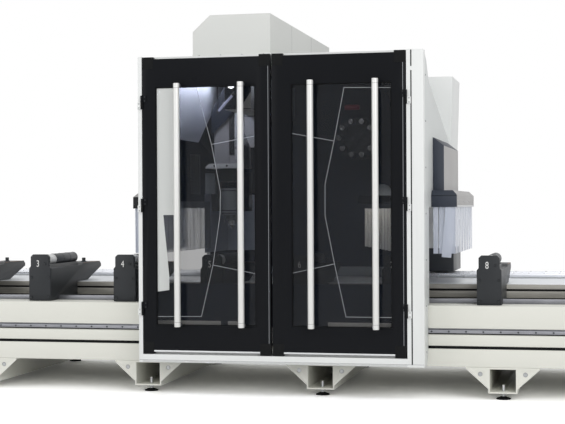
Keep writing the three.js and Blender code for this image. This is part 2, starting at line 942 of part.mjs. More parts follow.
// Overlapping hanging strips inside the hood's front and outer edges.
function curtain(wallX, side) {
  const outerX = wallX + side * (hoodReach - hoodWall - seat);
  const frontY = hoodFrontY + hoodWall + seat;
  const backY = hoodBackY - hoodWall - seat;
  const nearX = wallX + side * hoodWall;
  const sideCount = Math.max(2, Math.round((backY - frontY) / curtainStripWidth));
  const frontCount = Math.max(2, Math.round(Math.abs(outerX - nearX) / curtainStripWidth));
  const outerFace = [];
  const innerFace = [];
  for (let i = 0; i < frontCount; i += 1) {
    const set = i % 2 ? curtainThickness * curtainStripShare : 0;
    for (const step of [i, i + 1]) {
      const x = nearX + ((outerX - nearX) * step) / frontCount;
      outerFace.push([x, frontY + set]);
      innerFace.push([x - side * (step === frontCount ? curtainThickness : 0), frontY + set + curtainThickness]);
    }
  }
  for (let i = 0; i < sideCount; i += 1) {
    const set = i % 2 ? curtainThickness * curtainStripShare : 0;
    for (const step of [i, i + 1]) {
      const y = frontY + ((backY - frontY) * step) / sideCount;
      const first = step === 0;
      if (!first) outerFace.push([outerX - side * set, y]);
      if (!first) innerFace.push([outerX - side * (set + curtainThickness), y]);
    }
  }
  return prism('z', [...outerFace, ...innerFace.reverse()], curtainBottomZ, tunnelTopZ + curtainTuck);
}

function hoodsAndCurtains() {
  for (const [name, x, side] of [['left', cabinLeftX, -1], ['right', cabinRightX, 1]]) {
    place(`${name}_hood`, hood(x, side), finish.hoodSlate);
    place(`${name}_curtain`, curtain(x, side), finish.curtain);
  }
}

function topCover() {
  const shell = (inset) => prism(
    'y',
    [
      [topCoverLeftX + inset, cabinTopZ + (inset ? -overrun : seat)],
      [topCoverRightX - inset, cabinTopZ + (inset ? -overrun : seat)],
      [topCoverRightX - inset, topCoverTopZ - inset],
      [topCoverLeftX + topCoverChamferX + inset / 2, topCoverTopZ - inset],
      [topCoverLeftX + inset, topCoverTopZ - topCoverChamferZ - inset / 2],
    ],
    topCoverFrontY + inset,
    topCoverBackY - inset,
  );
  place('top_cover', cut(shell(0), shell(topCoverWall)), finish.coverGrey);
}

function apron() {
  const footZ = crossMemberZ + crossMemberHeight + seat;
  const [x0, x1] = [cabinLeftX + panelThickness + seat, cabinRightX - panelThickness - seat];
  place(
    'chip_apron',
    join(
      block([x0, x1], [panelFrontY, memberBackY], [footZ, footZ + apronThickness]),
      block([x0, x1], [memberBackY - apronThickness, memberBackY], [footZ, apronTopZ]),
    ),
    finish.doorBlack,
  );
}

function cabinet() {
  const left = innerRightX + seat;
  const shell = (inset) => prism(
    'y',
    [
      [left + inset, wallRearBottomZ + inset],
      [cabinetBottomX - inset, wallRearBottomZ + inset],
      [cabinetTopX - inset, cabinetTopZ - inset],
      [left + inset, cabinetTopZ - inset],
    ],
    cabinetFrontY + inset,
    cabinBackY - inset,
  );
  const doorLeft = left + cabinetDoorMargin;
  const doorRight = cabinetBottomX - cabinetDoorMargin;
  const doorZ = [wallRearBottomZ + cabinetDoorMargin, cabinetTopZ - cabinetDoorMargin];
  const mouth = block(
    [doorLeft + cabinetFrameWidth, doorRight - cabinetFrameWidth],
    [cabinBackY - cabinetWall - overrun, cabinBackY + overrun],
    [doorZ[0] + cabinetFrameWidth, doorZ[1] - cabinetFrameWidth],
  );
  place('electrical_cabinet', cut(shell(0), shell(cabinetWall), mouth), finish.cabinWhite);
  place(
    'cabinet_door',
    block([doorLeft, doorRight], [cabinBackY + seat, cabinBackY + seat + cabinetDoorThickness], doorZ),
    finish.cabinWhite,
  );
}

// One cabin door: black frame with corner blocks, a glass pane from behind, and two tube handles.
function door(name, [x0, x1], [glass0, glass1], handles, hinges) {
  const slab = block([x0, x1], [0, doorThickness], [doorBottomZ, doorTopZ]);
  const blocks = [];
  for (const [left, right] of [[x0, x0 + cornerBlockWidth], [x1 - cornerBlockWidth, x1]]) {
    blocks.push(block(
      [left, right],
      [0, doorThickness],
      [doorTopZ - cornerBlockHeight, doorTopZ + cornerBlockReach],
    ));
    blocks.push(block(
      [left, right],
      [0, doorThickness],
      [doorBottomZ - cornerBlockReach, doorBottomZ + cornerBlockHeight],
    ));
  }
  const window = block(
    [glass0, glass1],
    [-overrun, doorThickness + overrun],
    [glassBottomZ, glassTopZ],
  );
  const rebate = block(
    [glass0 - glassRebate, glass1 + glassRebate],
    [glassSetback, doorThickness + overrun],
    [glassBottomZ - glassRebate, glassTopZ + glassRebate],
  );
  const frame = cut(join(slab, ...blocks), window, rebate);
  place(`${name}_door_frame`, join(frame, ...hinges), finish.doorBlack);
  place(
    `${name}_door_glass`,
    block(
      [glass0 - glassRebate + seat, glass1 + glassRebate - seat],
      [glassSetback + seat, glassSetback + seat + glassThickness],
      [glassBottomZ - glassRebate + seat, glassTopZ + glassRebate - seat],
    ),
    finish.darkGlass,
  );
  const labels = ['outer', 'inner'];
  handles.forEach((x, i) => {
    const tube = bar('z', handleRadius, [x, -handleStandoff], handleBottomZ, handleTopZ);
    const post = (z) => bar('y', handlePostRadius, [x, z], -handleStandoff, -seat, 10);
    place(
      `${name}_door_handle_${labels[i]}`,
      join(
        tube,
        post(handleBottomZ + handlePostInset),
        post(handleTopZ - handlePostInset),
      ),
      finish.handle,
    );
  });
}

function doors() {
  const leftEdge = doorMiddleX - doorMiddleGap / 2;
  const rightEdge = doorMiddleX + doorMiddleGap / 2;
  door(
    'left',
    [doorLeftX, leftEdge],
    [doorLeftX + outerStileWidth, leftEdge - leftMeetingStile],
    leftHandlesX,
    hingeHalves(leftHingeX, -1, false),
  );
  door(
    'right',
    [rightEdge, doorRightX],
    [rightEdge + rightMeetingStile, doorRightX - outerStileWidth],
    rightHandlesX,
    hingeHalves(rightHingeX, 1, false),
  );
}

const pinionY = rackY - rackWidth / 2 - seat - pinionRadius;
const pinionBottomZ = railBottomZ;
const magazineFrontY = columnFrontY - magazineHubLength;

// Saddle on the gantry rails, column, and the beam that reaches forward over the clamps.
function gantryColumn() {
  const railSlot = (y, width, height) => block(
    [columnLeftX - saddleOverhang - overrun, columnRightX + saddleOverhang + overrun],
    [y - width / 2 - seat, y + width / 2 + seat],
    [saddleBottomZ - overrun, railBottomZ + height + seat],
  );
  const saddle = cut(
    block(
      [columnLeftX - saddleOverhang, columnRightX + saddleOverhang],
      [columnFrontY - saddleOverhang, columnBackY + saddleOverhang],
      [saddleBottomZ, saddleTopZ],
    ),
    railSlot(innerRailY, gantryRailWidth, gantryRailHeight),
    railSlot(outerRailY, gantryRailWidth, gantryRailHeight),
    railSlot(rackY, rackWidth + overrun, rackHeight + overrun),
    bar(
      'z',
      pinionRadius + overrun,
      [pinionX, pinionY],
      saddleBottomZ - overrun,
      pinionBottomZ + pinionHeight + overrun,
    ),
  );
  const shaftBore = bar(
    'z',
    pinionShaftRadius + seat,
    [pinionX, pinionY],
    saddleBottomZ,
    saddleTopZ + overrun,
  );
  const columnTopZ = roofBottomZ - seat;
  const column = cut(
    block([columnLeftX, columnRightX], [columnFrontY, columnBackY], [saddleTopZ - overrun, columnTopZ]),
    block(
      [columnLeftX + columnWall, columnRightX - columnWall],
      [columnFrontY + columnWall, columnBackY - columnWall],
      [saddleTopZ, columnTopZ - columnWall],
    ),
    block(
      [columnLeftX + columnWindowMargin, columnRightX - columnWindowMargin],
      [columnBackY - columnWall - overrun, columnBackY + overrun],
      [saddleTopZ + columnWindowMargin, columnTopZ - columnWindowMargin],
    ),
  );
  const [beamX, beamZ] = [[beamLeftX, beamLeftX + beamWidth], [beamBottomZ, beamBottomZ + beamHeight]];
  const beam = cut(
    block(beamX, [beamFrontY, columnFrontY + columnWall / 2], beamZ),
    block(
      [beamX[0] + beamWall, beamX[1] - beamWall],
      [beamFrontY - overrun, columnFrontY],
      [beamZ[0] + beamWall, beamZ[1] - beamWall],
    ),
  );
  const guides = beamGuideHeights().map((z) => block(
    [beamLeftX - beamRailDepth, beamLeftX + beamWall / 2],
    [beamFrontY, columnFrontY + columnWall / 2],
    [z - beamRailWidth / 2, z + beamRailWidth / 2],
  ));
  const hub = bar(
    'y',
    magazineHubRadius,
    [magazineX, magazineZ],
    magazineFrontY,
    columnFrontY + columnWall / 2,
  );
  const whole = cut(join(saddle, column, beam, ...guides, hub), shaftBore);
  place('gantry_column', whole, finish.castGrey);
}

function beamGuideHeights() {
  return [beamBottomZ + beamRailInset, beamBottomZ + beamHeight - beamRailInset - carriageTopMargin];
}

function xDrive() {
  const outline = [];
  for (let i = 0; i < pinionTeeth; i += 1) {
    for (const [share, radius] of [
      [0.1, pinionRadius],
      [0.4, pinionRadius],
      [0.6, pinionRadius - pinionToothDepth],
      [0.9, pinionRadius - pinionToothDepth],
    ]) {
      const angle = (2 * Math.PI * (i + share)) / pinionTeeth;
      outline.push([pinionX + radius * Math.cos(angle), pinionY + radius * Math.sin(angle)]);
    }
  }
  place(
    'drive_pinion',
    join(
      prism('z', outline, pinionBottomZ + seat, pinionBottomZ + pinionHeight),
      bar(
        'z',
        pinionShaftRadius,
        [pinionX, pinionY],
        pinionBottomZ + pinionHeight - overrun,
        saddleTopZ,
      ),
    ),
    finish.toolSteel,
  );
  place(
    'x_drive_motor',
    block(
      [pinionX - motorWidth / 2, pinionX + motorWidth / 2],
      [pinionY - motorWidth / 2, pinionY + motorWidth / 2],
      [saddleTopZ + seat, saddleTopZ + seat + motorHeight],
    ),
    finish.motorDark,
  );
}

function toolMagazine() {
  const rear = magazineFrontY - seat;
  const front = rear - magazineThickness;
  const parts = [bar('y', magazineRadius, [magazineX, magazineZ], front, rear, 24)];
  const pocketCircle = magazineRadius - magazinePocketRadius;
  for (let i = 0; i < magazinePocketCount; i += 1) {
    const angle = (2 * Math.PI * i) / magazinePocketCount;
    const centre = [
      magazineX + pocketCircle * Math.cos(angle),
      magazineZ + pocketCircle * Math.sin(angle),
    ];
    parts.push(bar('y', magazinePocketRadius, centre, front - magazinePocketLength, front + overrun, 8));
  }
  place('tool_magazine', join(...parts), finish.motorDark);
}

function yCarriage() {
  const y = [headY - carriageWidth / 2, headY + carriageWidth / 2];
  const plate = block([carriageLeftX, carriageRightX], y, [carriageBottomZ, carriageTopZ]);
  const slots = beamGuideHeights().map((z) => block(
    [beamLeftX - beamRailDepth - seat, carriageRightX + overrun],
    [y[0] - overrun, y[1] + overrun],
    [z - beamRailWidth / 2 - seat, z + beamRailWidth / 2 + seat],
  ));
  const guides = ramGuideCentres().map((centre) => block(
    [carriageLeftX - ramRailDepth, carriageLeftX + overrun],
    [centre - ramRailWidth / 2, centre + ramRailWidth / 2],
    [carriageBottomZ, carriageTopZ],
  ));
  place('y_carriage', join(cut(plate, ...slots), ...guides), finish.castGrey);
}

function ramGuideCentres() {
  return [headY - ramRailSpread / 2, headY + ramRailSpread / 2];
}

function zRam() {
  const body = block(
    [headX - ramWidth / 2, ramRightX],
    [headY - ramWidth / 2, headY + ramWidth / 2],
    [ramBottomZ - overrun, ramTopZ],
  );
  const flange = block(
    [ramFlangeLeftX, ramRightX],
    [headY - ramFlangeDepth / 2, headY + ramFlangeDepth / 2],
    [ramBottomZ - ramFlangeThickness, ramBottomZ],
  );
  const slots = ramGuideCentres().map((centre) => block(
    [carriageLeftX - ramRailDepth - seat, ramRightX + overrun],
    [centre - ramRailWidth / 2 - seat, centre + ramRailWidth / 2 + seat],
    [ramBottomZ - ramFlangeThickness - overrun, ramTopZ + overrun],
  ));
  place('z_ram', cut(join(body, flange), ...slots), finish.coverGrey);
}

const turntableTopZ = ramBottomZ - ramFlangeThickness - seat;
const yokeTopZ = turntableTopZ - turntableHeight;
const yokeBottomZ = yokeTopZ - yokeHeight;

// The fork turns about the vertical axis and carries the spindle between its arms.
function cFork() {
  const parts = [
    bar('z', turntableRadius, [headX, headY], yokeTopZ - overrun, turntableTopZ, 24),
    block(
      [headX - yokeWidth / 2, headX + yokeWidth / 2],
      [headY - yokeDepth / 2, headY + yokeDepth / 2],
      [yokeBottomZ, yokeTopZ],
    ),
  ];
  for (const side of [-1, 1]) {
    const outer = headX + side * (yokeWidth / 2);
    parts.push(block(
      [outer - side * forkArmThickness, outer],
      [headY - forkArmDepth / 2, headY + forkArmDepth / 2],
      [tiltPivotZ - forkArmDrop, yokeBottomZ + overrun],
    ));
  }
  // The bore's flats clear the trunnion's corners at every tilt.
  const bore = bar(
    'x',
    (trunnionRadius + seat) / Math.cos(Math.PI / roundSides),
    [headY, tiltPivotZ],
    headX - yokeWidth,
    headX + yokeWidth,
  );
  place('c_fork', cut(join(...parts), bore), finish.motorDark);
}

function spindle() {
  const noseZ = tiltPivotZ - spindleNose;
  const body = bar(
    'z',
    spindleRadius,
    [headX, headY],
    noseZ + spindleNoseLength,
    tiltPivotZ + spindleTop,
    24,
  );
  const nose = bar('z', spindleNoseRadius, [headX, headY], noseZ, noseZ + spindleNoseLength + overrun);
  const trunnion = bar(
    'x',
    trunnionRadius,
    [headY, tiltPivotZ],
    headX - yokeWidth / 2,
    headX + yokeWidth / 2,
  );
  place('spindle_head', join(body, nose, trunnion), finish.castGrey);
  const top = noseZ - seat;
  const colletTop = top - holderHeight;
  const toolTop = colletTop - colletHeight;
  place(
    'tool_holder',
    turned(
      [
        [0, toolTop - toolLength],
        [toolRadius, toolTop - toolLength + toolRadius],
        [toolRadius, toolTop],
        [colletRadius, toolTop],
        [colletRadius, colletTop],
        [holderRadius, colletTop],
        [holderRadius, top],
        [0, top],
      ],
      [headX, headY],
      12,
    ),
    finish.toolSteel,
  );
}

bed();
bedRails();
crossBeams();
clamps();
cabinFrame();
sideWalls();
roofAndRear();
hoodsAndCurtains();
topCover();
apron();
cabinet();
doors();
gantryColumn();
xDrive();
toolMagazine();
yCarriage();
zRam();
cFork();
spindle();

// Centre the machine in depth between the handles and the cabinet door.
const machineFrontY = -handleStandoff - handleRadius * Math.cos(Math.PI / roundSides);
const machineBackY = cabinBackY + seat + cabinetDoorThickness;
machine.position.set(0, -(machineFrontY + machineBackY) / 2, 0);

export default machine;
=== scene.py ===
"""Looks of a five-axis machining centre: a long bed with clamps, and a travelling cabin round the tool head.

Everything is in metres. X runs along the bed, Y from the doors to the back, Z up.
"""

import json
import logging
import math
import random
from collections.abc import Callable, Iterable, Sequence
from dataclasses import dataclass
from enum import Enum
from functools import partial

import bpy
from mathutils import Matrix, Vector

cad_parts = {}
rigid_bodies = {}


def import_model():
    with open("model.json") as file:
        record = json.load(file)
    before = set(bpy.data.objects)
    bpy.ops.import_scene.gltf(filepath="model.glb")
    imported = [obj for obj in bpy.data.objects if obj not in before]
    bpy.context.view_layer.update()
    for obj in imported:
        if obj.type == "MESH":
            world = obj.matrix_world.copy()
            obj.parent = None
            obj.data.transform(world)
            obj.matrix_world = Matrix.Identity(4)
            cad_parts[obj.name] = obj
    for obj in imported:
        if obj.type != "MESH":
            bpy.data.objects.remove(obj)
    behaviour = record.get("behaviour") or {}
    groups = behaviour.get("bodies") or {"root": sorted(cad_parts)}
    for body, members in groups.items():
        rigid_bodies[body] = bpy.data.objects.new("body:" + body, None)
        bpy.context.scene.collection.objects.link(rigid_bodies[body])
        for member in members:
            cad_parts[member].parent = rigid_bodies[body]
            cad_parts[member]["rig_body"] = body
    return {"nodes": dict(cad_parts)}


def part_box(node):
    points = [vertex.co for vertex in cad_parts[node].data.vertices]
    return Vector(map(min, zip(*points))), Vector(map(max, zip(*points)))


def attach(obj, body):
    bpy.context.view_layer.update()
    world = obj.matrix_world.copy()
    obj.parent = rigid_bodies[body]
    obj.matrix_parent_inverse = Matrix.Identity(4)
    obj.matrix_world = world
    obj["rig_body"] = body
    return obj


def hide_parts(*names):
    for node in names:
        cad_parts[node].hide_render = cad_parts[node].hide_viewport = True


LOG = logging.getLogger("machining_centre")
MERGE_DISTANCE = 1e-5
FLAT_ANGLE = math.radians(1)
SMOOTH_ANGLE = math.radians(35)
CLOUD_SIZE = 0.6
CLOUD_SHARE = 0.65
GRAIN_SHARE = 0.35
LEAST_ROUGHNESS = 0.02
ALONG_BED = (0.02, 1.0, 1.0)
UPRIGHT = (1.0, 1.0, 0.02)
FRONT = (0.0, -1.0, 0.0)
LEFT = (-1.0, 0.0, 0.0)
RIGHT = (1.0, 0.0, 0.0)
UP = (0.0, 0.0, 1.0)
DOWN = (0.0, 0.0, -1.0)

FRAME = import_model()
GLASS_SETBACK = 0.0145
DOOR_FACE_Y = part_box("left_door_glass")[0].y - GLASS_SETBACK
HINGE_AXES = {"left": -0.6005, "right": 1.2985}
SCREW_RISE = 0.55
HEADER_TILT = math.radians(32)
WALL_THICKNESS = 0.030

Point = Sequence[float]
Pair = tuple[float, float]
Faces = Callable[[Vector, Vector], bool]
AddNode = Callable[..., bpy.types.Node]


class Axis(Enum):
    """A direction of the machine, with the turn that lays a standing cylinder along it."""

    X = (0, math.pi / 2, 0)
    Y = (math.pi / 2, 0, 0)
    Z = (0, 0, 0)


class Grain(Enum):
    """How a surface was made, which settles its pattern."""

    POWDER = "powder coated"
    BRUSHED = "brushed or ground along one direction"
    CAST = "cast and painted"
    SMOOTH = "moulded or polished"
    KNURLED = "knurled"


def linear(hex_colour: str) -> tuple[float, float, float, float]:
    """Turns an sRGB hex colour to linear.

    Args:
        hex_colour: A colour such as "#17191c".

    Returns:
        Red, green, blue and an alpha of one, linear.
    """
    parts = [int(hex_colour[i : i + 2], 16) / 255 for i in (1, 3, 5)]
    flat = [c / 12.92 if c <= 0.04045 else ((c + 0.055) / 1.055) ** 2.4 for c in parts]
    return (*flat, 1.0)


def add_node(
    tree: bpy.types.NodeTree,
    kind: str,
    settings: dict[str | int, object] | None = None,
    links: dict[str | int, bpy.types.NodeSocket] | None = None,
) -> bpy.types.Node:
    """Adds a node with its settings and links.

    Args:
        tree: The node tree.
        kind: Blender's name for the node.
        settings: Properties by name, or input values by socket name or number.
        links: Outputs that feed the node's inputs, by socket name or number.

    Returns:
        The new node.
    """
    node = tree.nodes.new(kind)
    for key, value in (settings or {}).items():
        if isinstance(key, str) and key in node.bl_rna.properties:
            setattr(node, key, value)
        else:
            node.inputs[key].default_value = value
    for key, source in (links or {}).items():
        tree.links.new(source, node.inputs[key])
    return node


def emptied(owner: bpy.types.Material | bpy.types.World) -> AddNode:
    """Empties the node tree of a material or a world.

    Args:
        owner: The material or world.

    Returns:
        The function that adds nodes to this tree.
    """
    owner.use_nodes = True
    owner.node_tree.nodes.clear()
    return partial(add_node, owner.node_tree)


@dataclass(frozen=True)
class Finish:
    """A surface finish: what it is made of, its colours and the pattern that making it left."""

    name: str
    colour: str
    second: str
    grain: Grain = Grain.POWDER
    grain_size: float = 0.004
    bump: float = 0.08
    roughness: float = 0.45
    spread: float = 0.08
    metallic: float = 0.0
    alpha: float = 1.0
    glow: float = 0.0
    specular: float = 0.5
    along: tuple[float, float, float] = (1.0, 1.0, 1.0)

    def material(self) -> bpy.types.Material:
        """Gives the material, made once.

        Returns:
            The node material of this finish.
        """
        found = bpy.data.materials.get(self.name)
        if found:
            return found
        material = bpy.data.materials.new(self.name)
        add = emptied(material)
        place = add("ShaderNodeTexCoord").outputs["Object"]
        laid = add("ShaderNodeMapping", {"Scale": self.along}, {"Vector": place})
        fine = self._fine_pattern(add, laid.outputs["Vector"])
        clouds = {"Scale": 1 / CLOUD_SIZE, "Detail": 3.0, "Roughness": 0.6}
        cloudy = add("ShaderNodeTexNoise", clouds, {"Vector": place}).outputs["Fac"]
        tint = add("ShaderNodeMath", {"operation": "MULTIPLY_ADD", 1: GRAIN_SHARE, 2: 0.0}, {0: fine})
        both = add(
            "ShaderNodeMath",
            {"operation": "MULTIPLY_ADD", 1: CLOUD_SHARE, "use_clamp": True},
            {0: cloudy, 2: tint.outputs[0]},
        )
        colours = {"data_type": "RGBA", 6: linear(self.colour), 7: linear(self.second)}
        colour = add("ShaderNodeMix", colours, {0: both.outputs[0]})
        smoothest = max(LEAST_ROUGHNESS, self.roughness - self.spread)
        reach = {"To Min": smoothest, "To Max": self.roughness + self.spread}
        rough = add("ShaderNodeMapRange", reach, {"Value": cloudy})
        relief = {"Strength": self.bump, "Distance": self.grain_size / 4}
        bump = add("ShaderNodeBump", relief, {"Height": fine})
        surface = add(
            "ShaderNodeBsdfPrincipled",
            {
                "Metallic": self.metallic,
                "Alpha": self.alpha,
                "Specular IOR Level": self.specular,
                "Emission Color": linear(self.colour),
                "Emission Strength": self.glow,
            },
            {
                "Base Color": colour.outputs[2],
                "Roughness": rough.outputs["Result"],
                "Normal": bump.outputs["Normal"],
            },
        )
        add("ShaderNodeOutputMaterial", {}, {"Surface": surface.outputs[0]})
        return material

    def _fine_pattern(self, add: AddNode, place: bpy.types.NodeSocket) -> bpy.types.NodeSocket:
        """Adds the fine pattern of the finish.

        Args:
            add: The function that adds nodes to the material.
            place: The coordinates that the pattern follows.

        Returns:
            The pattern's value, from 0 to 1.
        """
        scale = 1 / self.grain_size
        if self.grain is Grain.KNURLED:
            return add("ShaderNodeTexVoronoi", {"Scale": scale}, {"Vector": place}).outputs["Distance"]
        detail = 5.0 if self.grain is Grain.CAST else 2.0
        noise = {"Scale": scale, "Detail": detail, "Roughness": 0.55}
        return add("ShaderNodeTexNoise", noise, {"Vector": place}).outputs["Fac"]


# Powder coat is baked plastic on steel sheet: even, with a soft orange peel, drawn at 5 mm to show.
BED_PAINT = Finish("powder_coat_warm_white", "#e8e8e0", "#dfdfd6", grain_size=0.005, roughness=0.5)
CABIN_WHITE = Finish("powder_coat_cool_white", "#eceeed", "#e5e7e6", grain_size=0.005, roughness=0.42)
CABIN_GREY = Finish("powder_coat_light_grey", "#dde0df", "#d5d9d8", grain_size=0.005, roughness=0.5)
COVER_GREY = Finish("powder_coat_pale_grey", "#dadbd8", "#d3d5d2", grain_size=0.005, roughness=0.55)
HOOD_SLATE = Finish("powder_coat_slate", "#373d49", "#2e333d", grain_size=0.005, roughness=0.5, specular=0.3)
HOOD_BLACK = Finish(
    "powder_coat_hood_black", "#1d1f22", "#17191b", grain_size=0.005, roughness=0.5, specular=0.2
)
# On the hoods, the faces that the light falls on get this lighter warm grey: painted light.
HOOD_PAINTED_LIT_FACE = Finish("powder_coat_warm_grey", "#b3b1b0", "#a9a7a6", grain_size=0.005, roughness=0.5)
RAM_COVER = Finish("powder_coat_mid_grey", "#a2a3a8", "#96979d", grain_size=0.005, roughness=0.5)
RAM_LIGHT = Finish("powder_coat_pale_cover", "#c9cbd0", "#bfc1c6", grain_size=0.005, roughness=0.45)
# A finer and smoother coat on the doors shines softly, and is darker than the other blacks.
DOOR_BLACK = Finish(
    "powder_coat_satin_black", "#111216", "#15171a", grain_size=0.004, roughness=0.3, bump=0.05, specular=0.08
)
# Anodised plate keeps a dry, dark sheen with no film on it.
CLAMP_BLACK = Finish(
    "anodised_black_plate", "#1b1e21", "#25282c", grain_size=0.003, roughness=0.45, specular=0.35
)
# Sheets inside the cabin, seen through tinted glass: the navy is painted shade of the closed cabin's inside,
# the bluish white is painted light where the lamps light the left wall high up, and the slate is bluish grey.
NAVY_PAINTED_SHADE = Finish(
    "inner_lining_navy", "#1c2330", "#242c3a", grain_size=0.02, bump=0.004, roughness=0.5, specular=0.2
)
LIT_PANEL_PAINTED_LIGHT = Finish(
    "inner_lining_bluish_white", "#d4d9e6", "#c3c9da", grain_size=0.006, bump=0.02, roughness=0.5
)
SLATE_PANEL = Finish(
    "inner_panel_slate", "#b4bccb", "#a6aebd", grain_size=0.006, bump=0.02, roughness=0.5, specular=0.3
)
# Laminated safety glass with a smoke tint is smooth and see-through.
TINTED_GLASS = Finish(
    "laminated_tinted_glass", "#0c1016", "#10151c", Grain.SMOOTH, grain_size=0.4, bump=0.0,
    roughness=0.05, spread=0.02, alpha=0.4, specular=0.35,
)
# Etched and filmed glass scatters light, so it looks pale and flat.
GLASS_LINE = Finish("etched_glass_line", "#a9acb0", "#8f9297", Grain.SMOOTH, roughness=0.5, bump=0.02)
GLASS_FILM = Finish("frosted_film", "#d4d6d4", "#c9ccca", Grain.SMOOTH, roughness=0.5, bump=0.02)
# Satin anodised aluminium is brushed along the tube and nearly white.
HANDLE_SATIN = Finish(
    "satin_anodised_aluminium", "#e6e6e4", "#d8d8d6", Grain.BRUSHED, grain_size=0.002, roughness=0.38,
    metallic=0.25, along=UPRIGHT,
)
# Ground guide ways show fine lines along their length.
GROUND_STEEL = Finish(
    "ground_rail_steel", "#c6c8cc", "#b8bac0", Grain.BRUSHED, grain_size=0.003, bump=0.01, roughness=0.28,
    metallic=1.0, along=ALONG_BED,
)
# Cold drawn flat bar, brownish grey; its long dark and bright stretches are painted reflections of the dark
# clamps and the bright room.
REFLECTION_PAINTED_STEEL = Finish(
    "cold_drawn_flat_steel", "#363533", "#bfbcb4", Grain.BRUSHED, grain_size=0.003, bump=0.02,
    roughness=0.35, metallic=0.4, along=ALONG_BED,
)
# Hardened guide ways, darker than fresh ground steel and mottled dark and light in long clouds along the bed:
# the mottling is painted reflection.
GUIDE_STEEL = Finish(
    "hardened_guide_steel_oiled", "#55575c", "#a3a4aa", Grain.CAST, grain_size=0.03, bump=0.02,
    roughness=0.35, metallic=0.75, along=(0.3, 1.0, 1.0),
)
# The brushed cover plate is painted nearly white: a painted reflection of the bright room.
DECK_STEEL = Finish(
    "steel_cover_plate_blued", "#eceff3", "#e0e4e9", Grain.BRUSHED, grain_size=0.004, bump=0.06,
    roughness=0.35, metallic=0.35, along=ALONG_BED,
)
# Turned steel is bright with tight highlights; knurling breaks them into small points.
TURNED_STEEL = Finish(
    "turned_tool_steel", "#c2c3c4", "#a4a5a8", Grain.BRUSHED, 0.002, roughness=0.22, metallic=1.0
)
KNURLED_STEEL = Finish(
    "knurled_silver_sleeve", "#eeeeec", "#b4b5b6", Grain.KNURLED, 0.006, bump=0.5, roughness=0.35,
    metallic=0.35,
)
# Plated and blackened fasteners differ from the paint around them by a dull metal gleam.
ZINC_STEEL = Finish("zinc_plated_bolt", "#b3b5b6", "#8f9193", Grain.CAST, 0.003, roughness=0.35, metallic=0.9)
ZINC_DARK = Finish("blackened_screw", "#3a3d40", "#292b2d", Grain.CAST, 0.003, roughness=0.35, metallic=0.6)
# Brushed trims draw thin bright lines; the grey line on a door's stile is a painted highlight of its rounded
# edge, and the tray's folded strip is painted nearly white, painted light that lifts it out of the shade
# behind the panes.
TRIM_LIGHT = Finish(
    "aluminium_edge_trim", "#d9dadb", "#c2c4c6", Grain.BRUSHED, 0.002, metallic=0.6, along=UPRIGHT
)
EDGE_HIGHLIGHT_GREY = Finish(
    "satin_edge_line", "#8f9296", "#7b7e82", Grain.BRUSHED, 0.002, roughness=0.4, along=UPRIGHT
)
TRAY_STRIP_PAINTED_LIGHT = Finish(
    "bright_folded_strip", "#f8f6f2", "#e9e6e0", Grain.BRUSHED, 0.003, roughness=0.4, metallic=0.1
)
# Painted castings have a coarse, uneven skin.
CAST_GREY = Finish("cast_iron_painted", "#8b9095", "#7d8287", Grain.CAST, 0.006, bump=0.2, roughness=0.5)
MACHINE_DARK = Finish("machine_enamel_dark", "#33373c", "#2a2d31", Grain.CAST, 0.005, roughness=0.42)
FORK_LIGHT = Finish("enamel_slate_grey", "#8a9199", "#7d848c", Grain.CAST, 0.005, roughness=0.45)
# Moulded rubber is deep black and hardly shines.
RUBBER = Finish(
    "moulded_black_rubber", "#0e0f10", "#141516", Grain.CAST, 0.003, roughness=0.75, specular=0.15
)
# Soft clear strips blur what is behind them and look milky; the outer curtain's faint glow is painted light,
# standing in for light shining through it.
CURTAIN_FILM_PAINTED_GLOW = Finish(
    "soft_clear_strip", "#d3d8e4", "#bcc3d2", Grain.SMOOTH, grain_size=0.02, bump=0.1, roughness=0.3,
    alpha=0.6, glow=0.1, along=(1.0, 1.0, 0.15),
)
CLEAR_FILM = Finish(
    "soft_clear_strip_thin", "#dfe4f0", "#c3c9d6", Grain.SMOOTH, grain_size=0.02, bump=0.1, roughness=0.3,
    alpha=0.35, along=(1.0, 1.0, 0.15),
)
# Woven cover cloth is white and matt.
PLEAT_WHITE = Finish("woven_cover_white", "#f3f3f0", "#e6e6e2", Grain.CAST, 0.004, roughness=0.6)
# A copper-toned seal draws a warm line along a clamp's nose.
SEAL_ORANGE = Finish("copper_tone_edge_seal", "#b5793a", "#8f5c2a", Grain.SMOOTH, roughness=0.4)
# Lit covers and lenses glow by themselves; they light the cabin's inside.
LAMP_LENS = Finish("lamp_lens_lit", "#f4f6ff", "#e8ecff", Grain.SMOOTH, roughness=0.3, glow=6.0)
CEILING_LENS = Finish("lamp_cover_lit", "#f4f6ff", "#e8ecff", Grain.SMOOTH, roughness=0.4, glow=32.0)
PLEAT_LENS = Finish("lamp_cover_soft", "#fbf6ee", "#f2ece2", Grain.SMOOTH, roughness=0.4, glow=10.0)
# The tube's faint glow is no lamp's own: it is a painted reflection.
TUBE_PAINTED_REFLECTION = Finish("frosted_lamp_tube", "#c8cef0", "#b4bbe0", Grain.SMOOTH, roughness=0.4, glow=0.6)
SIGNAL_RED = Finish("signal_red_lens", "#8a2636", "#70202d", Grain.SMOOTH, roughness=0.3, glow=0.12)
# Printed digits are matt white.
SIGN_WHITE = Finish("printed_white", "#e8e8e6", "#dededc", Grain.SMOOTH, roughness=0.6)
# A joint between two sheets shows as a line of shadow.
SEAM_SHADOW = Finish("seam_in_shadow", "#85888a", "#77797b", Grain.SMOOTH, roughness=0.7)


def deselect() -> None:
    """Clears the selection, so that the next operator acts on its own piece alone."""
    for chosen in list(bpy.context.selected_objects):
        chosen.select_set(False)


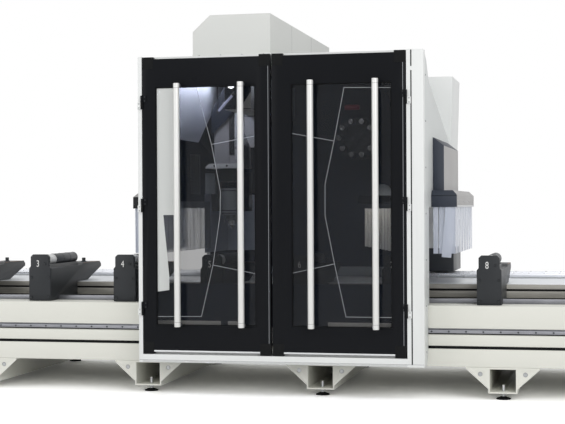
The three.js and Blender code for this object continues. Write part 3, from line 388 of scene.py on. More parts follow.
class Shape:
    """A mesh that is modelled with Blender's own operators."""

    def __init__(self, obj: bpy.types.Object, name: str) -> None:
        """Takes over an object.

        Args:
            obj: The mesh object.
            name: The name that the piece gets.
        """
        self.obj = obj
        obj.name = name
        obj.data.name = name

    @classmethod
    def box(cls, name: str, low: Point, high: Point) -> "Shape":
        """Adds a block between two corners.

        Args:
            name: The piece's name.
            low: Lowest corner.
            high: Highest corner.

        Returns:
            The new shape.
        """
        deselect()
        low_corner, high_corner = Vector(low), Vector(high)
        bpy.ops.mesh.primitive_cube_add(
            size=1, location=(low_corner + high_corner) / 2, scale=high_corner - low_corner
        )
        return cls(bpy.context.object, name).settled()

    @classmethod
    def rod(
        cls, name: str, centre: Point, radius: float, length: float, axis: Axis = Axis.Z, sides: int = 32
    ) -> "Shape":
        """Adds a round bar.

        Args:
            name: The piece's name.
            centre: Its middle.
            radius: Its radius.
            length: Its length along the axis.
            axis: The direction that it lies in.
            sides: How many sides the round has.

        Returns:
            The new shape.
        """
        deselect()
        bpy.ops.mesh.primitive_cylinder_add(
            vertices=sides, radius=radius, depth=length, location=Vector(centre), rotation=axis.value
        )
        return cls(bpy.context.object, name).settled()

    @classmethod
    def from_node(cls, node: str, name: str) -> "Shape":
        """Copies a node's solid, with its loose triangles joined up and its flat faces whole.

        Args:
            node: The node that is copied.
            name: The piece's name.

        Returns:
            The new shape.
        """
        deselect()
        mesh = FRAME["nodes"][node].data.copy()
        mesh.materials.clear()
        obj = bpy.data.objects.new(name, mesh)
        bpy.context.scene.collection.objects.link(obj)
        shape = cls(obj, name)
        shape.edit()
        bpy.ops.mesh.select_all(action="SELECT")
        bpy.ops.mesh.remove_doubles(threshold=MERGE_DISTANCE)
        bpy.ops.mesh.dissolve_limited(angle_limit=FLAT_ANGLE)
        return shape.done()

    @staticmethod
    def merged(shapes: Sequence["Shape"]) -> "Shape":
        """Joins shapes into the first of them."""
        return shapes[0].joined(shapes[1:])

    def activate(self) -> None:
        """Makes this the only selected object."""
        deselect()
        self.obj.select_set(True)
        bpy.context.view_layer.objects.active = self.obj

    def settled(self) -> "Shape":
        """Moves the object's place, turn and scale into its mesh."""
        self.activate()
        bpy.ops.object.transform_apply(location=True, rotation=True, scale=True)
        return self

    def edit(self) -> "Shape":
        """Enters edit mode with faces as the choice."""
        self.activate()
        bpy.ops.object.mode_set(mode="EDIT")
        bpy.ops.mesh.select_mode(type="FACE")
        return self

    def done(self) -> "Shape":
        """Leaves edit mode."""
        bpy.ops.object.mode_set(mode="OBJECT")
        return self

    def pick(self, test: Faces) -> "Shape":
        """Enters edit mode with some faces selected.

        Args:
            test: Says for a face's middle and normal whether it is meant.

        Returns:
            This shape, in edit mode.
        """
        self.edit()
        bpy.ops.mesh.select_all(action="DESELECT")
        self.done()
        for polygon in self.obj.data.polygons:
            polygon.select = test(polygon.center, polygon.normal)
        return self.edit()

    def inset(self, test: Faces, thickness: float, depth: float) -> "Shape":
        """Insets some faces and sinks them.

        Args:
            test: Which faces.
            thickness: Width of the rim that stays.
            depth: How far the middle sinks; below zero it sinks into the piece.

        Returns:
            This shape.
        """
        self.pick(test)
        bpy.ops.mesh.inset(thickness=thickness, depth=depth)
        return self.done()

    def modify(self, kind: str, **settings: object) -> "Shape":
        """Adds a modifier and applies it.

        Args:
            kind: Blender's name for the modifier.
            settings: Its values.

        Returns:
            This shape.
        """
        self.activate()
        modifier = self.obj.modifiers.new(kind.title(), kind)
        for key, value in settings.items():
            setattr(modifier, key, value)
        bpy.ops.object.modifier_apply(modifier=modifier.name)
        return self

    def bevelled(self, width: float, segments: int = 2) -> "Shape":
        """Rounds the sharp edges.

        Args:
            width: Width of the round.
            segments: Faces across it.

        Returns:
            This shape.
        """
        return self.modify(
            "BEVEL", width=width, segments=segments, limit_method="ANGLE", angle_limit=SMOOTH_ANGLE
        )

    def moved(self, offset: Point) -> "Shape":
        """Moves the mesh, with the object left at the origin."""
        self.obj.data.transform(Matrix.Translation(Vector(offset)))
        return self

    def turned(self, angle: float, axis: str, centre: Point) -> "Shape":
        """Turns the mesh about a point.

        Args:
            angle: Angle in radians.
            axis: "X", "Y" or "Z".
            centre: The point that stays.

        Returns:
            This shape.
        """
        middle = Matrix.Translation(Vector(centre))
        self.obj.data.transform(middle @ Matrix.Rotation(angle, 4, axis) @ middle.inverted())
        return self

    def copy(self, name: str, offset: Point) -> "Shape":
        """Makes a copy with a mesh of its own.

        Args:
            name: The copy's name.
            offset: How far the copy is moved.

        Returns:
            The copy.
        """
        twin = bpy.data.objects.new(name, self.obj.data.copy())
        bpy.context.scene.collection.objects.link(twin)
        return Shape(twin, name).moved(offset)

    def joined(self, others: Iterable["Shape"]) -> "Shape":
        """Joins other shapes into this one.

        Args:
            others: The shapes that become part of this one.

        Returns:
            This shape.
        """
        self.activate()
        for other in others:
            other.obj.select_set(True)
        if len(bpy.context.selected_objects) > 1:
            bpy.ops.object.join()
        return self

    def repeated(self, offsets: Iterable[Point]) -> "Shape":
        """Adds copies of this shape and joins them to it."""
        return self.joined([self.copy(f"{self.obj.name}_copy", offset) for offset in offsets])

    def echoed(self, places: Sequence[Point]) -> "Shape":
        """Repeats this shape, which stands at the first of some places, at the others."""
        first = Vector(places[0])
        return self.repeated([Vector(place) - first for place in places[1:]])

    def cut_by(self, tool: "Shape") -> "Shape":
        """Cuts another shape out of this one and removes that one.

        Args:
            tool: The shape that is cut out.

        Returns:
            This shape.
        """
        self.modify("BOOLEAN", object=tool.obj, operation="DIFFERENCE", solver="EXACT")
        bpy.data.objects.remove(tool.obj)
        return self

    def sliced(self, point: Point, normal: Point) -> "Shape":
        """Cuts off what lies beyond a plane and closes the cut.

        Args:
            point: A point on the plane.
            normal: The way that the plane looks; what lies on that side goes.

        Returns:
            This shape.
        """
        self.edit()
        bpy.ops.mesh.select_all(action="SELECT")
        bpy.ops.mesh.bisect(plane_co=point, plane_no=normal, use_fill=True, clear_outer=True)
        return self.done()

    def plated(self, test: Faces, thickness: float) -> "Shape":
        """Keeps some faces alone and thickens them outwards to a sheet.

        Args:
            test: Which faces stay.
            thickness: The sheet's thickness.

        Returns:
            This shape.
        """
        self.pick(lambda middle, normal: not test(middle, normal))
        bpy.ops.mesh.delete(type="FACE")
        self.done()
        return self.modify("SOLIDIFY", thickness=thickness, offset=1.0)

    def parted(self, *parts: tuple[Finish, Faces]) -> "Shape":
        """Gives some faces of a dressed piece a second or third finish.

        Args:
            parts: Finishes, each with the test for its faces; the first that fits counts.

        Returns:
            This shape.
        """
        for finish, _test in parts:
            self.obj.data.materials.append(finish.material())
        for polygon in self.obj.data.polygons:
            fits = [test(polygon.center, polygon.normal) for _finish, test in parts]
            polygon.material_index = fits.index(True) + 1 if True in fits else 0
        return self

    def dressed(
        self, finish: Finish, body: str = "gantry", slot: str | None = None, replaces: Sequence[str] = ()
    ) -> "Shape":
        """Shades the piece, gives it its finish and seats it on a body.

        Args:
            finish: The finish.
            body: The body that it rides on.
            slot: Not used.
            replaces: The nodes that it stands for.

        Returns:
            This shape.
        """
        self.activate()
        bpy.ops.object.shade_smooth_by_angle(angle=SMOOTH_ANGLE)
        self.obj.data.materials.clear()
        self.obj.data.materials.append(finish.material())
        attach(self.obj, body)
        if replaces:
            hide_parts(*replaces)
        LOG.info("%s rides on %s in %s", self.obj.name, body, finish.name)
        return self


def toward(direction: Point, limit: float = 0.9) -> Faces:
    """Gives a test for faces that look one way."""
    wanted = Vector(direction)
    return lambda _middle, normal: normal.dot(wanted) > limit


def spaced(start: float, end: float, count: int) -> list[float]:
    """Gives evenly spaced values from start to end, both included."""
    return [start + (end - start) * i / (count - 1) for i in range(count)]


def ring_of(centre: Pair, radius: float, angles: Iterable[float]) -> list[Pair]:
    """Gives places on a circle."""
    return [(centre[0] + radius * math.cos(a), centre[1] + radius * math.sin(a)) for a in angles]


def blocks(
    name: str,
    corners: Iterable[tuple[Point, Point]],
    width: float,
    finish: Finish,
    body: str = "gantry",
    segments: int = 2,
) -> Shape:
    """Adds blocks between pairs of corners, with rounded edges, as one dressed piece."""
    shapes = [Shape.box(name, low, high) for low, high in corners]
    return Shape.merged(shapes).bevelled(width, segments).dressed(finish, body)


def block(
    name: str, low: Point, high: Point, width: float, finish: Finish, body: str = "gantry", segments: int = 2
) -> Shape:
    """Adds a dressed block with rounded edges."""
    return blocks(name, [(low, high)], width, finish, body, segments)


def soften(node: str, finish: Finish, slot: str, width: float = 0.002, segments: int = 2) -> Shape:
    """Stands a copy with rounded edges in for a node.

    Args:
        node: The node.
        finish: Its finish.
        slot: Not used; handed on to dressed, which ignores it.
        width: Width of the rounded edges.
        segments: Faces across a rounded edge.

    Returns:
        The new piece.
    """
    body = FRAME["nodes"][node]["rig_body"]
    shape = Shape.from_node(node, f"{node}_skin").bevelled(width, segments)
    return shape.dressed(finish, body, slot, [node])


def hexagon_bolt(name: str, radius: float, height: float, axis: Axis) -> Shape:
    """Models a hexagon bolt head with its washer, at the origin."""
    head = Shape.rod(name, (0, 0, 0), radius, height, axis, sides=6).bevelled(height / 8, 1)
    return head.joined([Shape.rod(f"{name}_washer", (0, 0, 0), radius * 1.25, height / 4, axis, sides=16)])


def socket_screw(name: str, radius: float, height: float, axis: Axis, outward: Point) -> Shape:
    """Models a socket head screw, at the origin."""
    head = Shape.rod(name, (0, 0, 0), radius, height, axis, sides=12)
    return head.inset(toward(outward), radius / 8, 0.0).inset(toward(outward), radius / 3, -height / 2)


def screws_at(
    name: str,
    radius: float,
    outward: Point,
    places: Sequence[Point],
    finish: Finish = ZINC_STEEL,
    body: str = "gantry",
) -> Shape:
    """Puts the same low socket screw at several places.

    Args:
        name: The piece's name.
        radius: Radius of a head.
        outward: The way that the sockets look.
        places: Where the heads' feet lie.
        finish: Their finish.
        body: The body that they ride on.

    Returns:
        The screws as one piece.
    """
    rise = radius * SCREW_RISE
    axis = (Axis.X, Axis.Y, Axis.Z)[[bool(share) for share in outward].index(True)]
    screw = socket_screw(name, radius, rise, axis, outward)
    screw.moved(Vector(places[0]) + Vector(outward) * rise / 2)
    return screw.echoed(places).dressed(finish, body)


@dataclass
class Studio:
    """Floor, lights and camera."""

    camera_place: tuple[float, float, float] = (2.581, -10.717, 1.350)
    camera_turn: float = math.radians(12.7)
    camera_pitch: float = math.radians(-0.2)
    camera_roll: float = math.radians(-0.3)
    focal_pixels: float = 1400.0
    picture_width_pixels: float = 565.0
    sensor_width: float = 36.0
    floor_half: float = 60.0
    floor_depth: float = 0.02
    floor_tone: float = 0.85
    white_from: float = 4.0
    white_to: float = 9.0
    seen_white: float = 1.7
    surrounding_light: float = 0.56
    aim: tuple[float, float, float] = (0.3, 0.0, 1.0)

    def build(self) -> None:
        """Builds the floor, the world, the lamps and the camera."""
        low = (-self.floor_half, -self.floor_half, -self.floor_depth)
        floor = Shape.box("floor", low, (self.floor_half, self.floor_half, -MERGE_DISTANCE))
        floor.obj.data.materials.append(self._floor_material())
        self._world()
        self._lamp("key_light", (8.0, -12.0, 8.0), 820.0, 11.0)
        self._lamp("fill_light", (-9.0, -11.0, 5.5), 380.0, 9.0)
        self._camera()

    def _seen(self, add: AddNode) -> bpy.types.NodeSocket:
        """Adds the nodes that tell what is seen, also in mirrors and through glass, from what is lit.

        Args:
            add: The function that adds nodes.

        Returns:
            One for rays that come from the eye, else nought.
        """
        rays = add("ShaderNodeLightPath").outputs
        largest = {"operation": "MAXIMUM"}
        direct = add("ShaderNodeMath", largest, {0: rays["Is Camera Ray"], 1: rays["Is Glossy Ray"]})
        both = add("ShaderNodeMath", largest, {0: direct.outputs[0], 1: rays["Is Transmission Ray"]})
        return both.outputs[0]

    def _floor_material(self) -> bpy.types.Material:
        """Makes a floor that keeps the shadow near the machine and goes over to white further off.

        Returns:
            The material.
        """
        material = bpy.data.materials.new("pale_floor")
        add = emptied(material)
        place = add("ShaderNodeTexCoord").outputs["Object"]
        distance = add("ShaderNodeVectorMath", {"operation": "LENGTH"}, {0: place}).outputs["Value"]
        reach = {"From Min": self.white_from, "From Max": self.white_to}
        far = add("ShaderNodeMapRange", reach, {"Value": distance}).outputs["Result"]
        seen = self._seen(add)
        share = add("ShaderNodeMath", {"operation": "MULTIPLY"}, {0: seen, 1: far}).outputs[0]
        tones = {"data_type": "RGBA", 6: (self.floor_tone,) * 3 + (1.0,), 7: (self.seen_white,) * 3 + (1.0,)}
        colour = add("ShaderNodeMix", tones, {0: seen}).outputs[2]
        matt = add("ShaderNodeBsdfDiffuse", {}, {"Color": colour}).outputs[0]
        white = add("ShaderNodeEmission", {"Color": (1, 1, 1, 1), "Strength": 1.0}).outputs[0]
        mixed = add("ShaderNodeMixShader", {}, {0: share, 1: matt, 2: white}).outputs[0]
        add("ShaderNodeOutputMaterial", {}, {"Surface": mixed})
        return material

    def _world(self) -> None:
        """Makes a white surrounding light, plain white where it is seen."""
        world = bpy.data.worlds.new("studio")
        bpy.context.scene.world = world
        add = emptied(world)
        seen = self._seen(add)
        light, white = (
            add("ShaderNodeBackground", {"Color": (1, 1, 1, 1), "Strength": strength}).outputs[0]
            for strength in (self.surrounding_light, 1.0)
        )
        mixed = add("ShaderNodeMixShader", {}, {0: seen, 1: light, 2: white}).outputs[0]
        add("ShaderNodeOutputWorld", {}, {"Surface": mixed})

    def _lamp(self, name: str, place: Point, power: float, size: float) -> None:
        """Adds a soft lamp that looks at the middle of the machine.

        Args:
            name: The lamp's name.
            place: Where it hangs.
            power: Its power in watts.
            size: Its edge length.
        """
        data = bpy.data.lights.new(name, "AREA")
        data.energy = power
        data.size = size
        lamp = bpy.data.objects.new(name, data)
        lamp.location = place
        lamp.rotation_euler = (Vector(self.aim) - Vector(place)).to_track_quat("-Z", "Y").to_euler()
        bpy.context.scene.collection.objects.link(lamp)

    def _camera(self) -> None:
        """Adds the camera at the photograph's viewing angle."""
        data = bpy.data.cameras.new("camera")
        data.sensor_width = self.sensor_width
        data.lens = self.focal_pixels / self.picture_width_pixels * self.sensor_width
        camera = bpy.data.objects.new("camera", data)
        turn = Matrix.Rotation(self.camera_turn, 4, "Z")
        tilt = Matrix.Rotation(math.pi / 2 + self.camera_pitch, 4, "X")
        roll = Matrix.Rotation(self.camera_roll, 4, "Z")
        camera.matrix_world = Matrix.Translation(self.camera_place) @ turn @ tilt @ roll
        bpy.context.scene.collection.objects.link(camera)
        bpy.context.scene.camera = camera


@dataclass
class Bed:
    """Welded bed with its deck, guide rails, seals, painted shade strips and end bolts."""

    plate: float = 0.003
    plate_count: int = 6
    plate_front_gap: float = 0.004
    plate_back_gap: float = 0.03
    joint_width: float = 0.003
    seal: float = 0.014
    backing: float = 0.0015
    lining_height: float = 0.0095
    groove_foot: float = 0.3545
    groove_height: float = 0.019
    groove_setback: float = 0.005
    groove_depth: float = 0.0175
    bolt_radius: float = 0.012
    bolt_height: float = 0.009
    bolt_pitch: float = 0.30
    screw_radius: float = 0.007
    screw_pitch: float = 0.12

    def build(self) -> None:
        """Builds the bed's pieces."""
        soften("bed_beam", BED_PAINT, "bed_paint", 0.006, 3)
        # The deck's front faces take this steel as well: their dark is painted shade and reflection.
        soften("deck_beam", BED_PAINT, "bed_paint", 0.003).parted((REFLECTION_PAINTED_STEEL, toward(FRONT)))
        for node in ("gantry_rail_inner", "gantry_rail_outer", "drive_rack"):
            soften(node, GROUND_STEEL, "rail_steel", 0.002)
        soften("front_guide_rail", GUIDE_STEEL, "rail_steel", 0.002)
        soften("clamp_rail_front", GUIDE_STEEL, "rail_steel", 0.004, 3)
        soften("clamp_rail_back", REFLECTION_PAINTED_STEEL, "rail_steel", 0.004, 3)
        self._deck_plates()
        self._grooves()
        self._screws()
        self._end_bolts()

    def _deck_plates(self) -> None:
        """Lays the steel cover plates on the deck, with a joint between each two, and black strips along the
        band's upper and lower edges, which stand in for the shadow in the gaps there (painted shade).
        """
        low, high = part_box("deck_beam")
        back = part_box("gantry_rail_inner")[0].y - self.plate_back_gap
        length = (high.x - low.x) / self.plate_count
        plate = Shape.box(
            "deck_cover_plates",
            (low.x + self.joint_width, low.y + self.plate_front_gap, high.z),
            (low.x + length - self.joint_width, back, high.z + self.plate),
        ).bevelled(self.plate / 3)
        plate.repeated([(length * i, 0, 0) for i in range(1, self.plate_count)])
        plate.dressed(DECK_STEEL, "bed", "rail_steel")
        band_low, band_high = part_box("clamp_rail_back")
        front, rear = band_high.y - self.seal, band_high.y - self.backing / 2
        for name, z0, z1 in (
            ("band_seal_lower", band_low.z - self.seal, band_low.z - self.backing),
            ("band_seal_upper", band_high.z + self.backing, band_high.z + self.seal),
        ):
            seal = Shape.box(name, (low.x, front, z0), (high.x, rear, z1))
            seal.inset(toward(FRONT), self.seal / 5, -self.seal / 6).bevelled(self.backing)
            seal.dressed(RUBBER, "bed")

    def _grooves(self) -> None:
        """Puts dark strips at the back of the front rail's groove, above and below the rail, which stand in
        for the shade inside the groove (painted shade), and a black brush seal in the lower groove.
        """
        low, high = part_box("bed_beam")
        rail_low, rail_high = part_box("front_guide_rail")
        lining = Shape.box(
            "rail_groove_lining",
            (low.x, rail_high.y - self.backing, rail_high.z),
            (high.x, rail_high.y, rail_high.z + self.lining_height),
        )
        lower = lining.copy("rail_groove_seal", (0, 0, -(rail_high.z - rail_low.z) - self.lining_height))
        lining.bevelled(self.backing / 4).dressed(GUIDE_STEEL, "bed")
        lower.bevelled(self.backing / 4).dressed(RUBBER, "bed")
        strip = Shape.box(
            "lower_groove_seal",
            (low.x, low.y + self.groove_setback, self.groove_foot),
            (high.x, low.y + self.groove_depth, self.groove_foot + self.groove_height),
        )
        strip.inset(toward(FRONT), self.groove_height / 4, -self.groove_setback / 2)
        strip.bevelled(self.backing / 2).dressed(RUBBER, "bed")

    def _screws(self) -> None:
        """Adds the screws that hold the guide rails, in rows."""
        for node, name, outward in (
            ("gantry_rail_inner", "inner_rail_screws", UP),
            ("gantry_rail_outer", "outer_rail_screws", UP),
            ("front_guide_rail", "front_rail_screws", FRONT),
        ):
            low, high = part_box(node)
            start = low.x + self.screw_pitch
            if outward == UP:
                place, axis = (start, (low.y + high.y) / 2, high.z), Axis.Z
            else:
                place, axis = (start, low.y, (low.z + high.z) / 2), Axis.Y
            count = int((high.x - low.x) / self.screw_pitch) - 1
            screw = Shape.rod(name, place, self.screw_radius, self.plate, axis, sides=10)
            screw.inset(toward(outward), self.screw_radius / 3, -self.plate / 4)
            screw.repeated([(self.screw_pitch * i, 0, 0) for i in range(1, count)])
            screw.dressed(MACHINE_DARK, "bed")

    def _end_bolts(self) -> None:
        """Adds the bolts round both end plates."""
        low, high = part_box("bed_beam")
        rim = self.bolt_radius * 2.6
        steps = int((high.y - low.y) / self.bolt_pitch)
        places = [
            (x, low.y + rim + (high.y - low.y - 2 * rim) * i / steps, z)
            for x in (low.x - self.bolt_height / 2, high.x + self.bolt_height / 2)
            for i in range(steps + 1)
            for z in (low.z + rim, high.z - rim)
        ]
        bolt = hexagon_bolt("bed_end_bolts", self.bolt_radius, self.bolt_height, Axis.X)
        bolt.moved(places[0]).echoed(places).dressed(ZINC_STEEL, "bed")


@dataclass
class CrossBeam:
    """Square tube under the bed with gussets, bolts and levelling feet."""

    number: int
    foot_top: float = 0.0205
    bolt_radius: float = 0.015
    bolt_height: float = 0.010
    nut_radius: float = 0.021
    nut_height: float = 0.012
    gusset_hole_out: float = 0.155
    gusset_hole_drop: float = 0.0463
    foot_inset: float = 0.085
    pad_gap: float = 0.011
    stud_height: float = 0.06
    stud_reach: float = 0.012

    def build(self) -> None:
        """Dresses the beam and adds its fasteners."""
        node = f"cross_beam_{self.number}"
        low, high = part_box(node)
        middle = (low.x + high.x) / 2

        def on_pad(place: Vector, _normal: Vector) -> bool:
            """Says whether a face belongs to a foot's rubber pad."""
            return place.z < self.foot_top

        def on_stud(place: Vector, _normal: Vector) -> bool:
            """Says whether a face belongs to a foot's screw."""
            near = min(abs(place.y - low.y - self.foot_inset), abs(place.y - high.y + self.foot_inset))
            off_axis = max(near, abs(place.x - middle))
            return abs(place.z - self.foot_top) < self.stud_height and off_axis < self.stud_reach

        soften(node, BED_PAINT, "bed_paint", 0.003).parted((RUBBER, on_pad), (ZINC_STEEL, on_stud))
        bolts = [
            (middle + across, y, high.z - self.gusset_hole_drop)
            for y in (low.y + self.bolt_height / 2, high.y - self.bolt_height / 2)
            for across in (-self.gusset_hole_out, self.gusset_hole_out)
        ]
        bolt = hexagon_bolt(f"{node}_bolts", self.bolt_radius, self.bolt_height, Axis.Y)
        bolt.moved(bolts[0]).echoed(bolts).dressed(ZINC_STEEL, "bed")
        height = self.foot_top + self.pad_gap + self.nut_height / 2
        nut = hexagon_bolt(f"{node}_nuts", self.nut_radius, self.nut_height, Axis.Z)
        nut.moved((middle, low.y + self.foot_inset, height))
        nut.repeated([(0, high.y - low.y - 2 * self.foot_inset, 0)]).dressed(ZINC_STEEL, "bed")


@dataclass
class Clamps:
    """Numbered clamps with a jaw cylinder each."""

    count: int = 8
    digit_height: float = 0.048
    digit_cap_share: float = 0.69
    digit_width: float = 0.75
    digit_depth: float = 0.0006
    digit_shift: float = -0.014
    digit_drop: float = 0.068
    screw_radius: float = 0.009
    screw_height: float = 0.006
    sleeve_length: float = 0.215
    sleeve_radius: float = 0.0395
    ring: float = 0.006
    ring_rise: float = 0.0012
    edge_line: float = 0.0025
    nose_start: float = 0.40
    nose_end: float = 0.035
    nose_drop: float = 0.089
    pin_back: float = 0.175
    pin_radius: float = 0.0165
    pin_collar: float = 0.006

    def build(self) -> None:
        """Builds the clamps, the first in full and the others as copies."""
        details, jaw = self._details(), self._jaw()
        for number in range(1, self.count + 1):
            clamp = f"clamp_{number}"
            soften(f"{clamp}_body", CLAMP_BLACK, "clamp_black", 0.004, 3)
            for twin, finish in self._twins(details, clamp):
                twin.dressed(finish, clamp)
            self._digit(number)
            for twin, finish in self._twins(jaw, clamp):
                twin.dressed(finish, f"{clamp}_ram", "jaw_steel", [f"{clamp}_jaw"])
        for piece, _finish in (*details, *jaw):
            bpy.data.objects.remove(piece.obj)

    @staticmethod
    def _twins(pieces: Iterable[tuple[Shape, Finish]], clamp: str) -> Iterable[tuple[Shape, Finish]]:
        """Copies pieces of the first clamp to the place of another.

        Args:
            pieces: The pieces with their finishes.
            clamp: The other clamp.

        Returns:
            The copies with their finishes, one by one.
        """
        offset = (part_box(f"{clamp}_body")[0].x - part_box("clamp_1_body")[0].x, 0, 0)
        for piece, finish in pieces:
            yield piece.copy(piece.obj.name.replace("clamp_1", clamp, 1), offset), finish

    def _details(self) -> list[tuple[Shape, Finish]]:
        """Models the screws, edge lines and pin collar of the first clamp.

        Returns:
            The pieces with their finishes, unseated.
        """
        low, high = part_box("clamp_1_body")
        edge = self.screw_radius * 2
        front = low.y - self.screw_height / 2
        places = [
            (x, front, z)
            for x in (low.x + edge, high.x - edge)
            for z in (low.z + edge * 1.5, (low.z + high.z) / 2)
        ]
        places.append((high.x - edge * 2.4, front, high.z - self.digit_drop))
        screw = socket_screw("clamp_1.template_screws", self.screw_radius, self.screw_height, Axis.Y, FRONT)
        screw.moved(places[0]).echoed(places)
        top = high.z - self.nose_drop
        lines = [
            Shape.box(
                "clamp_1.template_line",
                (x, high.y - self.nose_start, top),
                (x + self.edge_line, high.y - self.nose_end, top + self.edge_line / 2),
            )
            for x in (low.x, high.x - self.edge_line)
        ]
        collar = Shape.rod(
            "clamp_1.template_collar",
            ((low.x + high.x) / 2, high.y - self.pin_back, top + self.pin_collar / 2),
            self.pin_radius * 1.5,
            self.pin_collar,
            sides=24,
        ).bevelled(self.pin_collar / 4)
        line = Shape.merged(lines).bevelled(self.edge_line / 8)
        return [(screw, ZINC_DARK), (line, SEAL_ORANGE), (collar, MACHINE_DARK)]

    def _digit(self, number: int) -> None:
        """Prints the clamp's plain number on its front plate.

        Args:
            number: The number.
        """
        low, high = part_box(f"clamp_{number}_body")
        deselect()
        bpy.ops.object.text_add(rotation=(math.pi / 2, 0, 0))
        text = bpy.context.object
        text.data.body = str(number)
        text.data.size = self.digit_height / self.digit_cap_share
        text.data.extrude = self.digit_depth
        text.data.align_x = "CENTER"
        text.location = (
            (low.x + high.x) / 2 + self.digit_shift,
            low.y - self.digit_depth,
            high.z - self.digit_drop - self.digit_height / 2,
        )
        text.scale = (self.digit_width, 1, 1)
        bpy.ops.object.convert(target="MESH")
        digit = Shape(bpy.context.object, f"clamp_{number}_number").settled()
        digit.dressed(SIGN_WHITE, f"clamp_{number}")

    def _jaw(self) -> list[tuple[Shape, Finish]]:
        """Models the first clamp's cylinder: a knurled sleeve in front of a dark barrel.

        Returns:
            The pieces with their finishes, unseated.
        """
        low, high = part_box("clamp_1_jaw")
        x, z = (low.x + high.x) / 2, (low.z + high.z) / 2
        radius = (high.z - low.z) / 2
        joint = low.y + self.sleeve_length
        length = high.y - low.y - self.sleeve_length
        rod = partial(Shape.rod, axis=Axis.Y, sides=48)
        middle = (x, low.y + self.sleeve_length / 2, z)
        sleeve = rod("clamp_1.template_sleeve", middle, self.sleeve_radius, self.sleeve_length)
        barrel = rod("clamp_1.template_barrel", (x, high.y - length / 2, z), radius - self.ring_rise, length)
        barrel.bevelled(0.008, 3).joined(
            [
                rod("ring", (x, joint + self.ring + share * length, z), radius, self.ring)
                for share in (0.0, 0.32, 0.64, 0.96)
            ]
        )
        return [(sleeve.bevelled(0.004, 3), KNURLED_STEEL), (barrel, MACHINE_DARK)]


